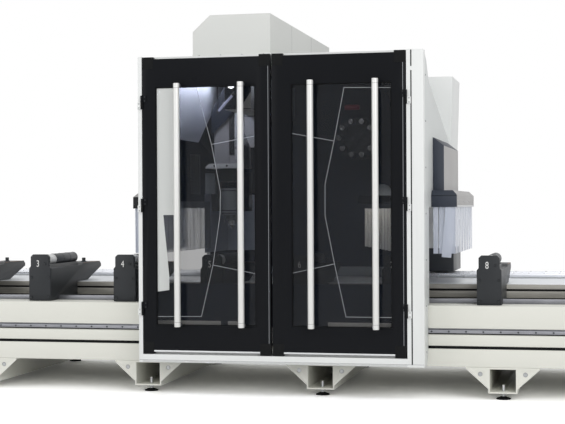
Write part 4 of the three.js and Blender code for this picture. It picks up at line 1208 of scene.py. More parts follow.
@dataclass
class Door:
    """A black-framed glass door with its seal, line decoration, trims (the grey upright one a painted
    highlight), hinge screws and tube handles.
    """

    side: str
    lines: tuple[tuple[Pair, ...], ...]
    trim_inset: float
    rebate: float = 0.0115
    outer_edges: Pair = (-0.598, 1.296)
    gasket: float = 0.006
    gasket_front: float = 0.008
    cap_rise: float = 0.0012
    cap_width: float = 0.080
    cap_height: float = 0.084
    trim_width: float = 0.004
    trim_rise: float = 0.0008
    kick_height: float = 0.011
    line_width: float = 0.0036
    line_rise: float = 0.0008
    film_rise: float = 0.0006
    film_ends: Pair = (-0.358, -0.408)
    film_step: float = 1.298
    film_foot: float = 0.751
    film_cuts: tuple[tuple[Point, Point], ...] = (
        ((-0.445, 0.0, 1.248), (0.995, 0.0, 0.096)),
        ((-0.489, 0.0, 0.751), (0.14, 0.0, -0.99)),
    )
    film_line: tuple[Pair, Pair] = ((-0.366, 1.31), (-0.3625, 2.19))
    post_radius: float = 0.010
    post_inset: float = 0.014
    tube_share: float = 0.91
    tube_foot_short: float = 0.018
    tube_top_short: float = 0.010
    collar_radius: float = 0.015
    collar_length: float = 0.005
    hinge_setback: float = 0.007
    hinge_heights: tuple[float, float, float] = (0.582, 1.319, 2.056)
    hinge_margin: float = 0.010
    hinge_knuckle: float = 0.0485
    hinge_screw: float = 0.0045
    hinge_screw_out: float = 0.022
    hinge_screw_step: float = 0.028

    def __post_init__(self) -> None:
        """Finds the corners of the part of the pane that the frame leaves open."""
        self.body = f"{self.side}_door"
        low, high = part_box(f"{self.body}_glass")
        rebate = Vector((self.rebate, 0, self.rebate))
        self.low, self.high = low + rebate, high - rebate

    def build(self) -> None:
        """Builds the door."""
        soften(f"{self.body}_frame", DOOR_BLACK, "door_black", 0.002)
        soften(f"{self.body}_glass", TINTED_GLASS, "dark_glass", 0.001, 1)
        self._gasket()
        self._corner_caps_and_trims()
        self._lines()
        self._hinge_screws()
        for place in ("outer", "inner"):
            self._handle(f"{self.body}_handle_{place}")

    def _gasket(self) -> None:
        """Lays a black seal round the pane, inside the frame's opening."""
        low, high, edge = self.low, self.high, self.gasket
        front = low.y - self.gasket_front
        ring = Shape.box(f"{self.body}_gasket", (low.x, front, low.z), (high.x, low.y, high.z))
        corner = (high.x - edge, low.y + edge, high.z - edge)
        ring.cut_by(Shape.box("gasket_hole", (low.x + edge, front - edge, low.z + edge), corner))
        ring.bevelled(edge / 4).dressed(RUBBER, self.body)

    def _corner_caps_and_trims(self) -> None:
        """Adds the moulded corner caps, the grey upright line on one stile, which is a painted highlight of
        the door's rounded edge, and the strip along the lower edge.
        """
        low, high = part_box(f"{self.body}_frame")
        left = self.outer_edges[0] if self.side == "left" else low.x
        right = high.x if self.side == "left" else self.outer_edges[1]
        width, height = self.cap_width, self.cap_height
        caps = [
            ((x, DOOR_FACE_Y - self.cap_rise, z), (x + width, DOOR_FACE_Y, z + height))
            for x in (left, right - width)
            for z in (low.z, high.z - height)
        ]
        blocks(f"{self.body}_caps", caps, self.cap_rise / 2, RUBBER, self.body)
        reach = self.cap_height / 6
        line = right - self.trim_inset
        block(
            f"{self.body}_edge_line",
            (line, DOOR_FACE_Y - self.trim_rise, low.z + reach + self.kick_height),
            (line + self.trim_width, DOOR_FACE_Y, high.z - reach),
            self.trim_rise / 4,
            EDGE_HIGHLIGHT_GREY,
            self.body,
            1,
        )
        block(
            f"{self.body}_kick_strip",
            (left + self.cap_width, DOOR_FACE_Y - self.trim_rise * 2, low.z + reach),
            (right - self.cap_width, DOOR_FACE_Y, low.z + reach + self.kick_height),
            self.trim_rise / 2,
            TRIM_LIGHT,
            self.body,
        )

    def _lines(self) -> None:
        """Lays the thin decorative lines on the pane, as flat strips between given points."""
        front, half = self.low.y, self.line_width / 2
        strips = []
        for line in self.lines:
            for (x0, z0), (x1, z1) in zip(line, line[1:]):
                reach = (math.hypot(x1 - x0, z1 - z0) + half) / 2
                x, z = (x0 + x1) / 2, (z0 + z1) / 2
                strip = Shape.box(
                    f"{self.body}_lines",
                    (x - reach, front - self.line_rise, z - half),
                    (x + reach, front, z + half),
                )
                strips.append(strip.turned(-math.atan2(z1 - z0, x1 - x0), "Y", (x, front, z)))
        Shape.merged(strips).bevelled(self.line_rise / 3, 1).dressed(GLASS_LINE, self.body)

    def film(self) -> None:
        """Lays the frosted film on the left door's pane: a straight upper strip and a lower wedge."""
        back, rim = self.low.y, self.film_rise / 3
        front, edge, top = back - self.film_rise, self.low.x + self.gasket, self.high.z - self.gasket
        upper_end, lower_end = self.film_ends
        low, high = (edge, front, self.film_step), (upper_end, back, top)
        block("left_door_film_upper", low, high, rim, GLASS_FILM, self.body, 1)
        low, high = (edge, front, self.film_foot), (lower_end, back, self.film_step)
        wedge = Shape.box("left_door_film_lower", low, high)
        for point, normal in self.film_cuts:
            wedge.sliced(point, normal)
        wedge.bevelled(rim, 1).dressed(GLASS_FILM, self.body)
        (x0, z0), (x1, z1) = self.film_line
        low, high = (x0, front - self.film_rise, z0), (x1, front, z1)
        block("left_door_film_edge", low, high, rim, RUBBER, self.body, 1)

    def _hinge_screws(self) -> None:
        """Adds two screws to every hinge leaf, on the door and on the post beside it."""
        inward = 1 if self.side == "left" else -1
        front = DOOR_FACE_Y - self.hinge_setback - self.hinge_screw / 4
        for place, body, way, lift, finish in (
            ("door", self.body, inward, self.hinge_knuckle, ZINC_DARK),
            ("post", "gantry", -inward, 0.0, ZINC_STEEL),
        ):
            x = HINGE_AXES[self.side] + way * self.hinge_screw_out
            places = [
                (x, front, height + (self.hinge_margin + lift) + step)
                for height in self.hinge_heights
                for step in (0.0, self.hinge_screw_step)
            ]
            name = f"{self.side}_hinge_screws_{place}"
            screw = socket_screw(name, self.hinge_screw, self.hinge_screw / 2, Axis.Y, FRONT)
            screw.moved(places[0]).echoed(places).dressed(finish, body)

    def _handle(self, node: str) -> None:
        """Builds one tube handle: the tube, the joints of its end caps, its two posts and their collars.

        Args:
            node: The handle's node.
        """
        low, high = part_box(node)
        radius = (high.x - low.x) / 2
        x, y = (low.x + high.x) / 2, low.y + radius
        foot, top = low.z + self.tube_foot_short, high.z - self.tube_top_short
        radius *= self.tube_share
        reach = high.y - y
        tube = Shape.rod(f"{node}_tube", (x, y, (foot + top) / 2), radius, top - foot, sides=48)
        tube.bevelled(radius / 8, 3).dressed(HANDLE_SATIN, self.body, "handle_satin", [node])
        ends = ((foot + self.post_inset, 1), (top - self.post_inset, -1))
        rings = [
            Shape.rod(
                f"{node}_cap_joints",
                (x, y, z + inward * self.post_inset * 1.4),
                radius + self.trim_rise / 2,
                self.trim_rise * 2,
                sides=48,
            )
            for z, inward in ends
        ]
        Shape.merged(rings).dressed(MACHINE_DARK, self.body)
        posts = [
            Shape.rod(f"{node}_posts", (x, y + reach / 2, z), self.post_radius, reach, Axis.Y, 24)
            for z, _inward in ends
        ]
        Shape.merged(posts).dressed(MACHINE_DARK, self.body, "handle_satin", [node])
        root, length = high.y - self.collar_length / 2, self.collar_length
        collars = [
            Shape.rod(f"{node}_collars", (x, root, z), self.collar_radius, length, Axis.Y, 24)
            .bevelled(length / 4)
            for z, _inward in ends
        ]
        Shape.merged(collars).dressed(MACHINE_DARK, self.body)


LEFT_LINES = (
    (
        (-0.202, 2.207), (-0.166, 2.078), (-0.090, 1.797), (-0.026, 1.459),
        (-0.030, 1.296), (-0.084, 0.942), (-0.171, 0.576), (-0.492, 0.572),
    ),
    ((-0.090, 1.797), (0.226, 1.852)),
    ((-0.084, 0.942), (0.222, 0.883)),
)
RIGHT_LINES = (
    (
        (1.190, 2.170), (0.865, 2.178), (0.793, 1.808), (0.728, 1.509),
        (0.727, 1.287), (0.792, 0.953), (0.871, 0.585), (1.190, 0.585),
    ),
    ((0.793, 1.808), (0.495, 1.865)),
    ((0.792, 0.953), (0.495, 0.888)),
)


@dataclass
class Cabin:
    """Travelling cabin: frame, walls, roof, top cover, painted light and shade on the inside walls, lamps,
    vent plate, tray strips and seams.
    """

    lining: float = 0.0015
    slot_places: tuple[Pair, ...] = ((0.262, 2.285), (2.313, 2.426))
    slot_left: float = 1.3295
    slot_width: float = 0.0085
    knuckle_reach: float = 0.0095
    seam: float = 0.002
    seam_rise: float = 0.0007
    sill_line_height: float = 0.262
    cover_seams: Pair = (0.72, 1.46)
    cover_screw_insets: Pair = (0.05, 0.08)
    wall_screw_depth: float = 0.108
    wall_screw_heights: Pair = (0.34, 2.26)
    rear_seam_inset: float = 0.42
    lamp_places: tuple[Pair, ...] = ((0.012, 2.230), (1.131, 2.245))
    lamp_depth: float = 0.200
    lamp_radius: float = 0.032
    lamp_length: float = 0.045
    lens_edge: float = 0.005
    housing_rim: float = 0.004
    housing_recess: float = 0.003
    vent_low: Pair = (1.208, 1.453)
    vent_high: Pair = (1.490, 1.787)
    vent_rivet: float = 0.007
    flange: float = 0.022
    screw: float = 0.006
    wall_sheet: float = 0.017
    panel_reach: Pair = (0.110, 1.720)
    panel_foot: float = 1.857
    panel_end: Pair = (1.718, 2.346)
    panel_slope: Point = (0.0, 0.538, -0.843)
    ledge_lowest: float = 1.5
    column_face: Pair = (0.55, 0.65)
    column_lowest: float = 1.0
    slate_heights: Pair = (0.975, 1.460)
    slate_start: float = 1.620
    ceiling_width: float = 0.085
    ceiling_reach: Pair = (0.13, 1.30)
    header_sides: Pair = (-0.40, 0.46)
    header_depth: float = 0.300
    header_height: float = 0.018
    tube_ends: tuple[Pair, Pair] = ((-0.103, 2.041), (0.014, 2.166))
    tube_depth: float = 0.230
    tube_radius: float = 0.009
    apron_sheet: float = 0.008
    tray_depth: float = 0.100
    tray_height: float = 0.032
    tray_strips: tuple[tuple[str, float, float], ...] = (
        ("tray_edge_left", -0.531, -0.052),
        ("tray_edge_middle", 0.0, 0.088),
        ("tray_edge_right", 0.727, 1.173),
    )

    def __post_init__(self) -> None:
        """Finds the roof's lowest corner and the left wall's inner face."""
        self.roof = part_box("roof")[0]
        self.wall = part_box("left_wall")[0].x + WALL_THICKNESS

    def build(self) -> None:
        """Builds the cabin's pieces."""

        def on_knuckle(place: Vector, _normal: Vector) -> bool:
            """Says whether a face belongs to a hinge knuckle."""
            reach = min(abs(place.x - axis) for axis in HINGE_AXES.values())
            return place.y < DOOR_FACE_Y - self.seam_rise and reach < self.knuckle_reach

        soften("cabin_frame", CABIN_WHITE, "cabin_white", 0.003).parted((RUBBER, on_knuckle))
        for node in ("left_wall", "right_wall", "rear_wall"):
            soften(node, CABIN_GREY, "cabin_grey", 0.003)
        soften("roof", CABIN_WHITE, "cabin_white", 0.002)
        soften("top_cover", COVER_GREY, "cover_grey", 0.004, 3)
        # The apron behind the panes is navy too: painted shade.
        soften("chip_apron", NAVY_PAINTED_SHADE, "door_black", 0.002)
        self._front_lines()
        self._cover_details()
        self._linings()
        self._slate_panels()
        for number, place in enumerate(self.lamp_places, 1):
            self._lamp(f"work_lamp_{number}", *place)
        self._ceiling_light()
        self._header_light()
        self._light_tube()
        self._vent_plate()
        self._tray_edges()
        self._wall_details()

    def _seams(self, name: str, corners: Iterable[tuple[Point, Point]]) -> None:
        """Adds thin dark seams between pairs of corners as one piece."""
        blocks(name, corners, self.seam_rise / 4, SEAM_SHADOW, segments=1)

    def _front_lines(self) -> None:
        """Adds the thin black seals in the right post and the seam along the sill."""
        front, end = DOOR_FACE_Y - self.seam_rise, self.slot_left + self.slot_width
        seals = [((self.slot_left, front, low), (end, DOOR_FACE_Y, high)) for low, high in self.slot_places]
        blocks("post_seal", seals, self.seam_rise / 3, RUBBER, segments=1)
        left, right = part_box("left_wall")[0].x + self.seam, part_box("right_wall")[1].x - self.seam
        front, foot = DOOR_FACE_Y - self.seam_rise / 2, self.sill_line_height
        self._seams("sill_seam", [((left, front, foot), (right, DOOR_FACE_Y, foot + self.seam))])

    def _cover_details(self) -> None:
        """Adds the top cover's foot flange with its screws, and the cover's seams."""
        low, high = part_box("top_cover")
        plate, top = self.lining, low.z + self.flange
        flange = Shape.box(
            "top_cover_flange", (low.x - plate, low.y - plate, low.z), (high.x + plate, high.y + plate, top)
        )
        flange.cut_by(Shape.box("flange_hole", (low.x, low.y, low.z - plate), (high.x, high.y, top + plate)))
        flange.bevelled(plate / 3).dressed(COVER_GREY)
        height = low.z + self.flange / 2
        across, along = self.cover_screw_insets
        front = [(x, low.y - plate, height) for x in spaced(low.x + across, high.x - across, 4)]
        screws_at("top_cover_screws", self.screw, FRONT, front)
        side = [(high.x + plate, y, height) for y in spaced(low.y + along, high.y - along, 8)]
        screws_at("top_cover_side_screws", self.screw, RIGHT, side)
        right, end = high.x + self.seam_rise, high.z - self.flange / 4
        places = [low.y + reach for reach in self.cover_seams]
        self._seams("top_cover_seams", [((high.x, y, top), (right, y + self.seam, end)) for y in places])

    def _linings(self) -> None:
        """Paints light and shade on the cabin's inside: a bluish white sheet high on the left wall, cut off
        along the slanted edge where the light ends, is painted light, and navy sheets on the other inner
        faces are painted shade.
        """
        sheet, left = self.lining, self.roof.x + self.wall_sheet
        start, end = (DOOR_FACE_Y + reach for reach in self.panel_reach)
        cut = (0.0, DOOR_FACE_Y + self.panel_end[0], self.panel_end[1])
        panel = Shape.box(
            "left_light_panel", (left, start, self.panel_foot), (left + sheet, end, self.roof.z - sheet)
        )
        panel.sliced(cut, self.panel_slope).bevelled(sheet / 4).dressed(LIT_PANEL_PAINTED_LIGHT)

        def upper(middle: Vector, normal: Vector) -> bool:
            """Picks the wall's upper inner face."""
            return normal.x > 0.9 and abs(middle.x - left) < 0.002

        def lower(middle: Vector, normal: Vector) -> bool:
            """Picks the wall's lower inner faces, which lie further out."""
            return normal.x > 0.9 and middle.x < left - 0.02

        def ledge(middle: Vector, normal: Vector) -> bool:
            """Picks the ledge between them."""
            return normal.z < -0.3 and middle.z > self.ledge_lowest and middle.x < left

        def soffit(_middle: Vector, normal: Vector) -> bool:
            """Picks the slanted underside behind the opening."""
            return normal.y < -0.2 and normal.z < -0.2

        def column(middle: Vector, normal: Vector) -> bool:
            """Picks the column's front face above the tool area."""
            near, far = self.column_face
            return normal.y < -0.9 and near < middle.y < far and middle.z > self.column_lowest

        for name, node, test in (
            ("left_upper_rear_lining", "left_wall", upper),
            ("left_lower_lining", "left_wall", lower),
            ("left_ledge_lining", "left_wall", ledge),
            ("right_lining", "right_wall", toward(LEFT)),
            ("right_soffit_lining", "right_wall", soffit),
            ("rear_lining", "rear_wall", toward(FRONT)),
            ("column_cladding", "gantry_column", column),
        ):
            lining = Shape.from_node(node, name).plated(test, sheet)
            if test is upper:
                lining.sliced(cut, -Vector(self.panel_slope))
            lining.dressed(NAVY_PAINTED_SHADE)

    def _slate_panels(self) -> None:
        """Adds the two slate panels low at the back, on the left wall and on the rear wall."""
        wall, rear = self.wall + self.lining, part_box("rear_wall")[0].y - self.lining
        foot, top = self.slate_heights
        start, end = DOOR_FACE_Y + self.slate_start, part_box("gantry_column")[0].x - 0.004
        for name, low, high in (
            ("left_slate_panel", (wall, start, foot), (wall + self.lining, rear, top)),
            ("rear_slate_panel", (wall, rear - self.lining, foot), (end, rear, top)),
        ):
            block(name, low, high, self.lining / 4, SLATE_PANEL)

    def _ceiling_light(self) -> None:
        """Adds the long lamp under the roof, between the left wall and the ram's way."""
        left, foot = self.roof.x + self.wall_sheet + self.flange, self.roof.z - self.lamp_length / 3
        right, edge = left + self.ceiling_width, self.lens_edge
        start, end = (DOOR_FACE_Y + reach for reach in self.ceiling_reach)
        housing = Shape.box("ceiling_light_housing", (left, start, foot), (right, end, self.roof.z))
        housing.inset(toward(DOWN), self.housing_rim, -self.housing_recess)
        housing.bevelled(self.lining).dressed(BED_PAINT)
        low, high = (left + edge, start + edge, foot + 0.001), (right - edge, end - edge, foot + 0.003)
        block("ceiling_light_lens", low, high, self.lining / 4, CEILING_LENS, segments=1)

    def _header_light(self) -> None:
        """Adds the lamp bar behind the door header, tilted towards the tool head, with its two brackets."""
        x0, x1 = self.header_sides
        depth, foot, edge = DOOR_FACE_Y + self.header_depth, self.roof.z - self.lamp_length, self.lens_edge
        front, back, pivot = depth - self.lamp_radius, depth + self.lamp_radius, (0.0, depth, foot)
        bar = Shape.box("header_light_bar", (x0, front, foot), (x1, back, foot + self.header_height))
        bar.inset(toward(DOWN), self.housing_rim, -self.housing_recess).bevelled(self.lining)
        bar.turned(HEADER_TILT, "X", pivot).dressed(BED_PAINT)
        low, high = (x0 + edge, front + edge, foot + 0.001), (x1 - edge, back - edge, foot + 0.0025)
        lens = Shape.box("header_light_lens", low, high).bevelled(self.lining / 4, 1)
        lens.turned(HEADER_TILT, "X", pivot).dressed(CEILING_LENS)
        brackets = [
            ((x - 0.010, depth - 0.012, foot + 0.010), (x + 0.010, depth + 0.012, self.roof.z))
            for x in (x0 + 0.08, x1 - 0.08)
        ]
        blocks("header_light_brackets", brackets, self.lining, MACHINE_DARK)

    def _light_tube(self) -> None:
        """Adds the slanted tube in front of the beam, with its two end caps and stems; the tube's faint glow
        is a painted reflection.
        """
        y, radius = DOOR_FACE_Y + self.tube_depth, self.tube_radius
        (x0, z0), (x1, z1) = self.tube_ends
        length = math.hypot(x1 - x0, z1 - z0)
        middle = ((x0 + x1) / 2, y, (z0 + z1) / 2)
        turn = math.atan2(x1 - x0, z1 - z0)
        tube = Shape.rod("light_tube", middle, radius, length, sides=24).turned(turn, "Y", middle)
        tube.dressed(TUBE_PAINTED_REFLECTION)
        caps = [
            Shape.rod("cap", (middle[0], y, middle[2] + way * length / 2), radius * 1.3, 0.02, sides=24)
            for way in (-1, 1)
        ]
        cap = Shape.merged(caps).turned(turn, "Y", middle)
        roof = self.roof.z
        stems = [
            Shape.rod("light_tube_stems", (x, y, (z + roof) / 2), radius / 2, roof - z, sides=12)
            for x, z in self.tube_ends
        ]
        Shape.merged([*stems, cap]).dressed(MACHINE_DARK)

    def _lamp(self, name: str, x: float, z: float) -> None:
        """Hangs a round work lamp from the roof on a stem.

        Args:
            name: The lamp's name.
            x: Place along the bed.
            z: Height of the lamp.
        """
        y, radius = DOOR_FACE_Y + self.lamp_depth, self.lamp_radius
        rod = partial(Shape.rod, axis=Axis.Y, sides=32)
        middle = (x, y, (z + self.roof.z) / 2)
        stem = Shape.rod(f"{name}_stem", middle, radius / 5, self.roof.z - z, sides=16)
        head = rod(f"{name}_head", (x, y, z), radius, self.lamp_length).bevelled(0.004, 3)
        head.joined([stem]).dressed(MACHINE_DARK)
        lens = rod(f"{name}_lens", (x, y - self.lamp_length / 2, z), radius * 0.82, self.lining * 2)
        lens.bevelled(self.lining / 2).dressed(LAMP_LENS)

    def _vent_plate(self) -> None:
        """Adds the riveted plate low on the left wall's inside."""
        back, front = self.wall + self.lining, self.wall + self.lining + self.lining
        (y0, z0), (y1, z1) = self.vent_low, self.vent_high
        low, high = (back, y0 + DOOR_FACE_Y, z0), (front, y1 + DOOR_FACE_Y, z1)
        block("vent_plate", low, high, self.lining / 3, MACHINE_DARK)
        edge = self.vent_rivet * 2
        places = [
            (front, y + DOOR_FACE_Y, z)
            for y in spaced(y0 + edge, y1 - edge, 5)
            for z in spaced(z0 + edge, z1 - edge, 13)
        ]
        rivet = Shape.rod("vent_rivets", places[0], self.vent_rivet, self.lining, Axis.X, 16)
        rivet.echoed(places).dressed(PLEAT_WHITE)

    def _tray_edges(self) -> None:
        """Adds the edge strips that stand on the apron behind the panes, painted nearly white: painted light
        that lifts them out of the shade there.
        """
        top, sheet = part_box("chip_apron")[0].z + self.apron_sheet, self.lining * 2
        y = DOOR_FACE_Y + self.tray_depth
        for name, x0, x1 in self.tray_strips:
            strip = Shape.box(name, (x0, y, top), (x1, y + sheet, top + self.tray_height))
            foot = Shape.box(f"{name}_foot", (x0, y, top), (x1, y + self.tray_height / 2, top + sheet))
            strip.joined([foot]).bevelled(self.lining / 2).dressed(TRAY_STRIP_PAINTED_LIGHT)

    def _wall_details(self) -> None:
        """Adds the screws down both side walls and the seams of the rear wall."""
        for side, x, outward in (
            ("left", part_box("left_wall")[0].x, LEFT),
            ("right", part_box("right_wall")[1].x, RIGHT),
        ):
            y = DOOR_FACE_Y + self.wall_screw_depth
            places = [(x, y, z) for z in spaced(*self.wall_screw_heights, 7)]
            screws_at(f"{side}_wall_screws", self.screw, outward, places)
        low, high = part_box("rear_wall")
        foot, back, top = low.z + self.flange, high.y + self.seam_rise, high.z - self.flange
        places = spaced(low.x + self.rear_seam_inset, high.x - self.rear_seam_inset, 3)
        self._seams("rear_wall_seams", [((x, high.y, foot), (x + self.seam, back, top)) for x in places])


@dataclass
class Hood:
    """Tunnel hood with painted light on its lit faces, its seam, flange and screws, and the curtain that
    hangs in it.
    """

    side: str
    finish: Finish
    strip_width: float = 0.112
    strip_pitch: float = 0.094
    strip_sheet: float = 0.002
    strip_top: float = 1.400
    strip_bottom: float = 1.012
    strip_spread: float = 0.010
    strip_drop: float = 0.028
    swing: Pair = (math.radians(4.5), math.radians(-3))
    twist: float = math.radians(5)
    front_strips: int = 4
    front_share: float = 0.88
    swung_share: float = 1.7
    shoulder: float = 1.468
    seam: float = 0.003
    seam_rise: float = 0.0008
    seam_drop: float = 0.040
    flange: float = 0.012
    inner_reach: Pair = (0.30, 1.78)

    def build(self) -> None:
        """Builds the hood with its curtain."""
        right = self.side == "right"
        node = f"{self.side}_hood"
        low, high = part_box(node)
        out, way, outward = (high.x, 1, RIGHT) if right else (low.x, -1, LEFT)

        def on_flank(place: Vector, normal: Vector) -> bool:
            """Says whether a face gets the painted light: the right hood's sideward faces, the left hood's
            upward faces.
            """
            if right:
                return normal.x > (0.9 if place.z > self.shoulder else 0.3)
            return normal.z > 0.3

        soften(node, self.finish, "hood_slate", 0.003).parted((HOOD_PAINTED_LIT_FACE, on_flank))
        foot, edge = low.z + 2 * self.seam_drop, self.seam_rise / 4
        start = (low.x + self.seam, low.y - self.seam_rise, foot)
        end = (high.x - self.seam, low.y, foot + self.seam)
        block(f"{node}_front_seam", start, end, edge, RUBBER, segments=1)
        sides = sorted((out, out + way * self.seam_rise * 2))
        start = (sides[0], low.y + self.seam, low.z)
        end = (sides[1], high.y - self.seam, low.z + self.flange)
        block(f"{node}_flange", start, end, self.seam_rise / 2, TRIM_LIGHT)
        places = [(out, y, low.z + self.seam_drop) for y in spaced(low.y + 0.06, high.y - 0.06, 4)]
        screws_at(f"{node}_screws", self.seam * 1.8, outward, places, TRIM_LIGHT)
        self._curtain(way)

    def _curtain(self, way: int) -> None:
        """Hangs overlapping strips along the hood's flank and across its front.

        Args:
            way: 1 where the flank looks right, -1 where it looks left.
        """
        low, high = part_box(f"{self.side}_curtain")
        outer, near = (high.x, low.x) if way > 0 else (low.x, high.x)
        name, chance = f"{self.side}_curtain_strips", random.Random(7)
        reach = high.y - low.y - self.strip_width
        count = int(reach / self.strip_pitch) + 1
        strips = []
        for i in range(count):
            y = low.y + self.strip_width / 2 + reach * i / (count - 1)
            x = outer - way * (self.strip_sheet + (i % 2) * self.strip_sheet * 2)
            strips.append(self._strip(name, (x, y), chance))
        narrow = abs(outer - near) / self.front_strips
        width = narrow * self.front_share
        for i in range(self.front_strips):
            x = near + way * narrow * (i + 0.5) - way * self.strip_sheet
            y = low.y + self.strip_spread * (0.6 + 0.8 * (i % 2))
            strips.append(self._strip(name, (x, y), chance, width))
        total = count * self.strip_width + self.front_strips * width
        if way > 0:
            place = (near + narrow * 3.1, low.y + self.strip_spread * 0.3)
            width = narrow * self.swung_share
            swung = self._strip(name, place, chance, width)
            for angle, axis in zip(self.swing, "YX"):
                swung.turned(angle, axis, (*place, self.strip_top))
            strips.append(swung.moved((0, 0, -self.strip_drop)))
            total += width
        curtain = Shape.merged(strips)
        curtain.dressed(CURTAIN_FILM_PAINTED_GLOW, "gantry", "curtain_strip", [f"{self.side}_curtain"])

    def inner_curtain(self) -> None:
        """Hangs the second curtain, on the inside of the left wall's tunnel mouth."""
        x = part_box("left_wall")[0].x + WALL_THICKNESS + self.strip_sheet * 3
        chance = random.Random(11)
        start, end = (DOOR_FACE_Y + y for y in self.inner_reach)
        half = self.strip_width / 2
        count = int((end - start - self.strip_width) / self.strip_pitch) + 1
        strips = [
            self._strip("left_inner_curtain_strips", (x + (i % 2) * self.strip_sheet * 2, y), chance)
            for i, y in enumerate(spaced(start + half, end - half, count))
        ]
        curtain = Shape.merged(strips).dressed(CLEAR_FILM)

    def _strip(self, name: str, place: Pair, chance: random.Random, width: float | None = None) -> Shape:
        """Models one strip with a slight twist.

        Args:
            name: The piece's name.
            place: Its middle along and across the bed.
            chance: Gives the small differences between strips.
            width: Its width where it hangs across the bed's length, None where it hangs along the bed.

        Returns:
            The strip.
        """
        length = self.strip_top - self.strip_bottom
        deselect()
        upright = (math.pi / 2, 0, 0)
        bpy.ops.mesh.primitive_grid_add(x_subdivisions=4, y_subdivisions=12, size=1, rotation=upright)
        strip = Shape(bpy.context.object, name)
        strip.obj.scale = (width or self.strip_width, length, 1)
        strip.settled()
        reach = self.twist * (3 if width else 1)
        angle = chance.uniform(-reach, reach)
        strip.modify("SIMPLE_DEFORM", deform_method="TWIST", deform_axis="Z", angle=angle)
        strip.modify("SOLIDIFY", thickness=self.strip_sheet, offset=0.0)
        if not width:
            strip.turned(math.pi / 2, "Z", (0, 0, 0))
        return strip.moved((*place, self.strip_bottom + length / 2))


@dataclass
class Cabinet:
    """Electrical cabinet at the back right with its plinth, door, louvres, lock and hinges."""

    louvre_count: int = 9
    louvre_pitch: float = 0.022
    louvre_rise: float = 0.004
    louvre_height: float = 0.008
    louvre_inset: float = 0.05
    lock_radius: float = 0.014
    lock_inset: float = 0.035
    slot_half: float = 0.0015
    knuckle_radius: float = 0.007
    knuckle_length: float = 0.060
    knuckle_inset: float = 0.16
    seam: float = 0.002
    cornice: float = 0.045
    plinth_top: float = 1.010

    def build(self) -> None:
        """Builds the cabinet's pieces."""
        body = Shape.from_node("electrical_cabinet", "electrical_cabinet_skin")
        low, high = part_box("electrical_cabinet")
        for vertex in body.obj.data.vertices:
            vertex.co.z += self.cornice if vertex.co.z > high.z - self.cornice else 0.0
        body.bevelled(0.003).dressed(CABIN_WHITE, "gantry", "cabin_white", ["electrical_cabinet"])
        start = (low.x + self.seam, low.y - self.seam, low.z)
        end = (high.x + self.seam, high.y - self.seam, self.plinth_top)
        block("cabinet_plinth", start, end, self.seam / 2, MACHINE_DARK)
        soften("cabinet_door", CABIN_WHITE, "cabin_white", 0.003)
        low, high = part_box("cabinet_door")
        for group, base in (("lower", low.z + 0.14), ("upper", high.z - 0.34)):
            self._louvres(f"cabinet_{group}_louvres", base)
        self._lock(Vector((high.x - self.lock_inset, high.y, (low.z + high.z) / 2)))
        place = (low.x, high.y - self.knuckle_radius, low.z + self.knuckle_inset)
        knuckle = Shape.rod("cabinet_hinges", place, self.knuckle_radius, self.knuckle_length, sides=20)
        rise = (high.z - low.z - 2 * self.knuckle_inset) / 2
        knuckle.bevelled(self.knuckle_radius / 6).repeated([(0, 0, rise), (0, 0, 2 * rise)])
        knuckle.dressed(ZINC_STEEL, "cabinet_door")

    def _louvres(self, name: str, base: float) -> None:
        """Adds a group of louvres to the cabinet's door.

        Args:
            name: The piece's name.
            base: Height of the lowest louvre.
        """
        low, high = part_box("cabinet_door")
        left, right, back = low.x + self.louvre_inset, high.x - self.louvre_inset, high.y + self.louvre_rise
        heights = [base + i * self.louvre_pitch for i in range(self.louvre_count)]
        louvres = [((left, high.y, z), (right, back, z + self.louvre_height)) for z in heights]
        blocks(name, louvres, self.louvre_rise / 3, SEAM_SHADOW, "cabinet_door")

    def _lock(self, place: Vector) -> None:
        """Adds the door's round lock with its slot.

        Args:
            place: Its middle on the door's face.
        """
        x, y, z = place
        radius, rise = self.lock_radius, self.louvre_rise
        lock = Shape.rod("cabinet_lock", (x, y + rise / 2, z), radius, rise, Axis.Y, 32).bevelled(rise / 4)
        low = (x - self.slot_half, y + rise, z - radius / 2)
        high = (x + self.slot_half, y + rise * 1.2, z + radius / 2)
        lock.joined([Shape.box("cabinet_lock_slot", low, high)]).dressed(ZINC_STEEL, "cabinet_door")


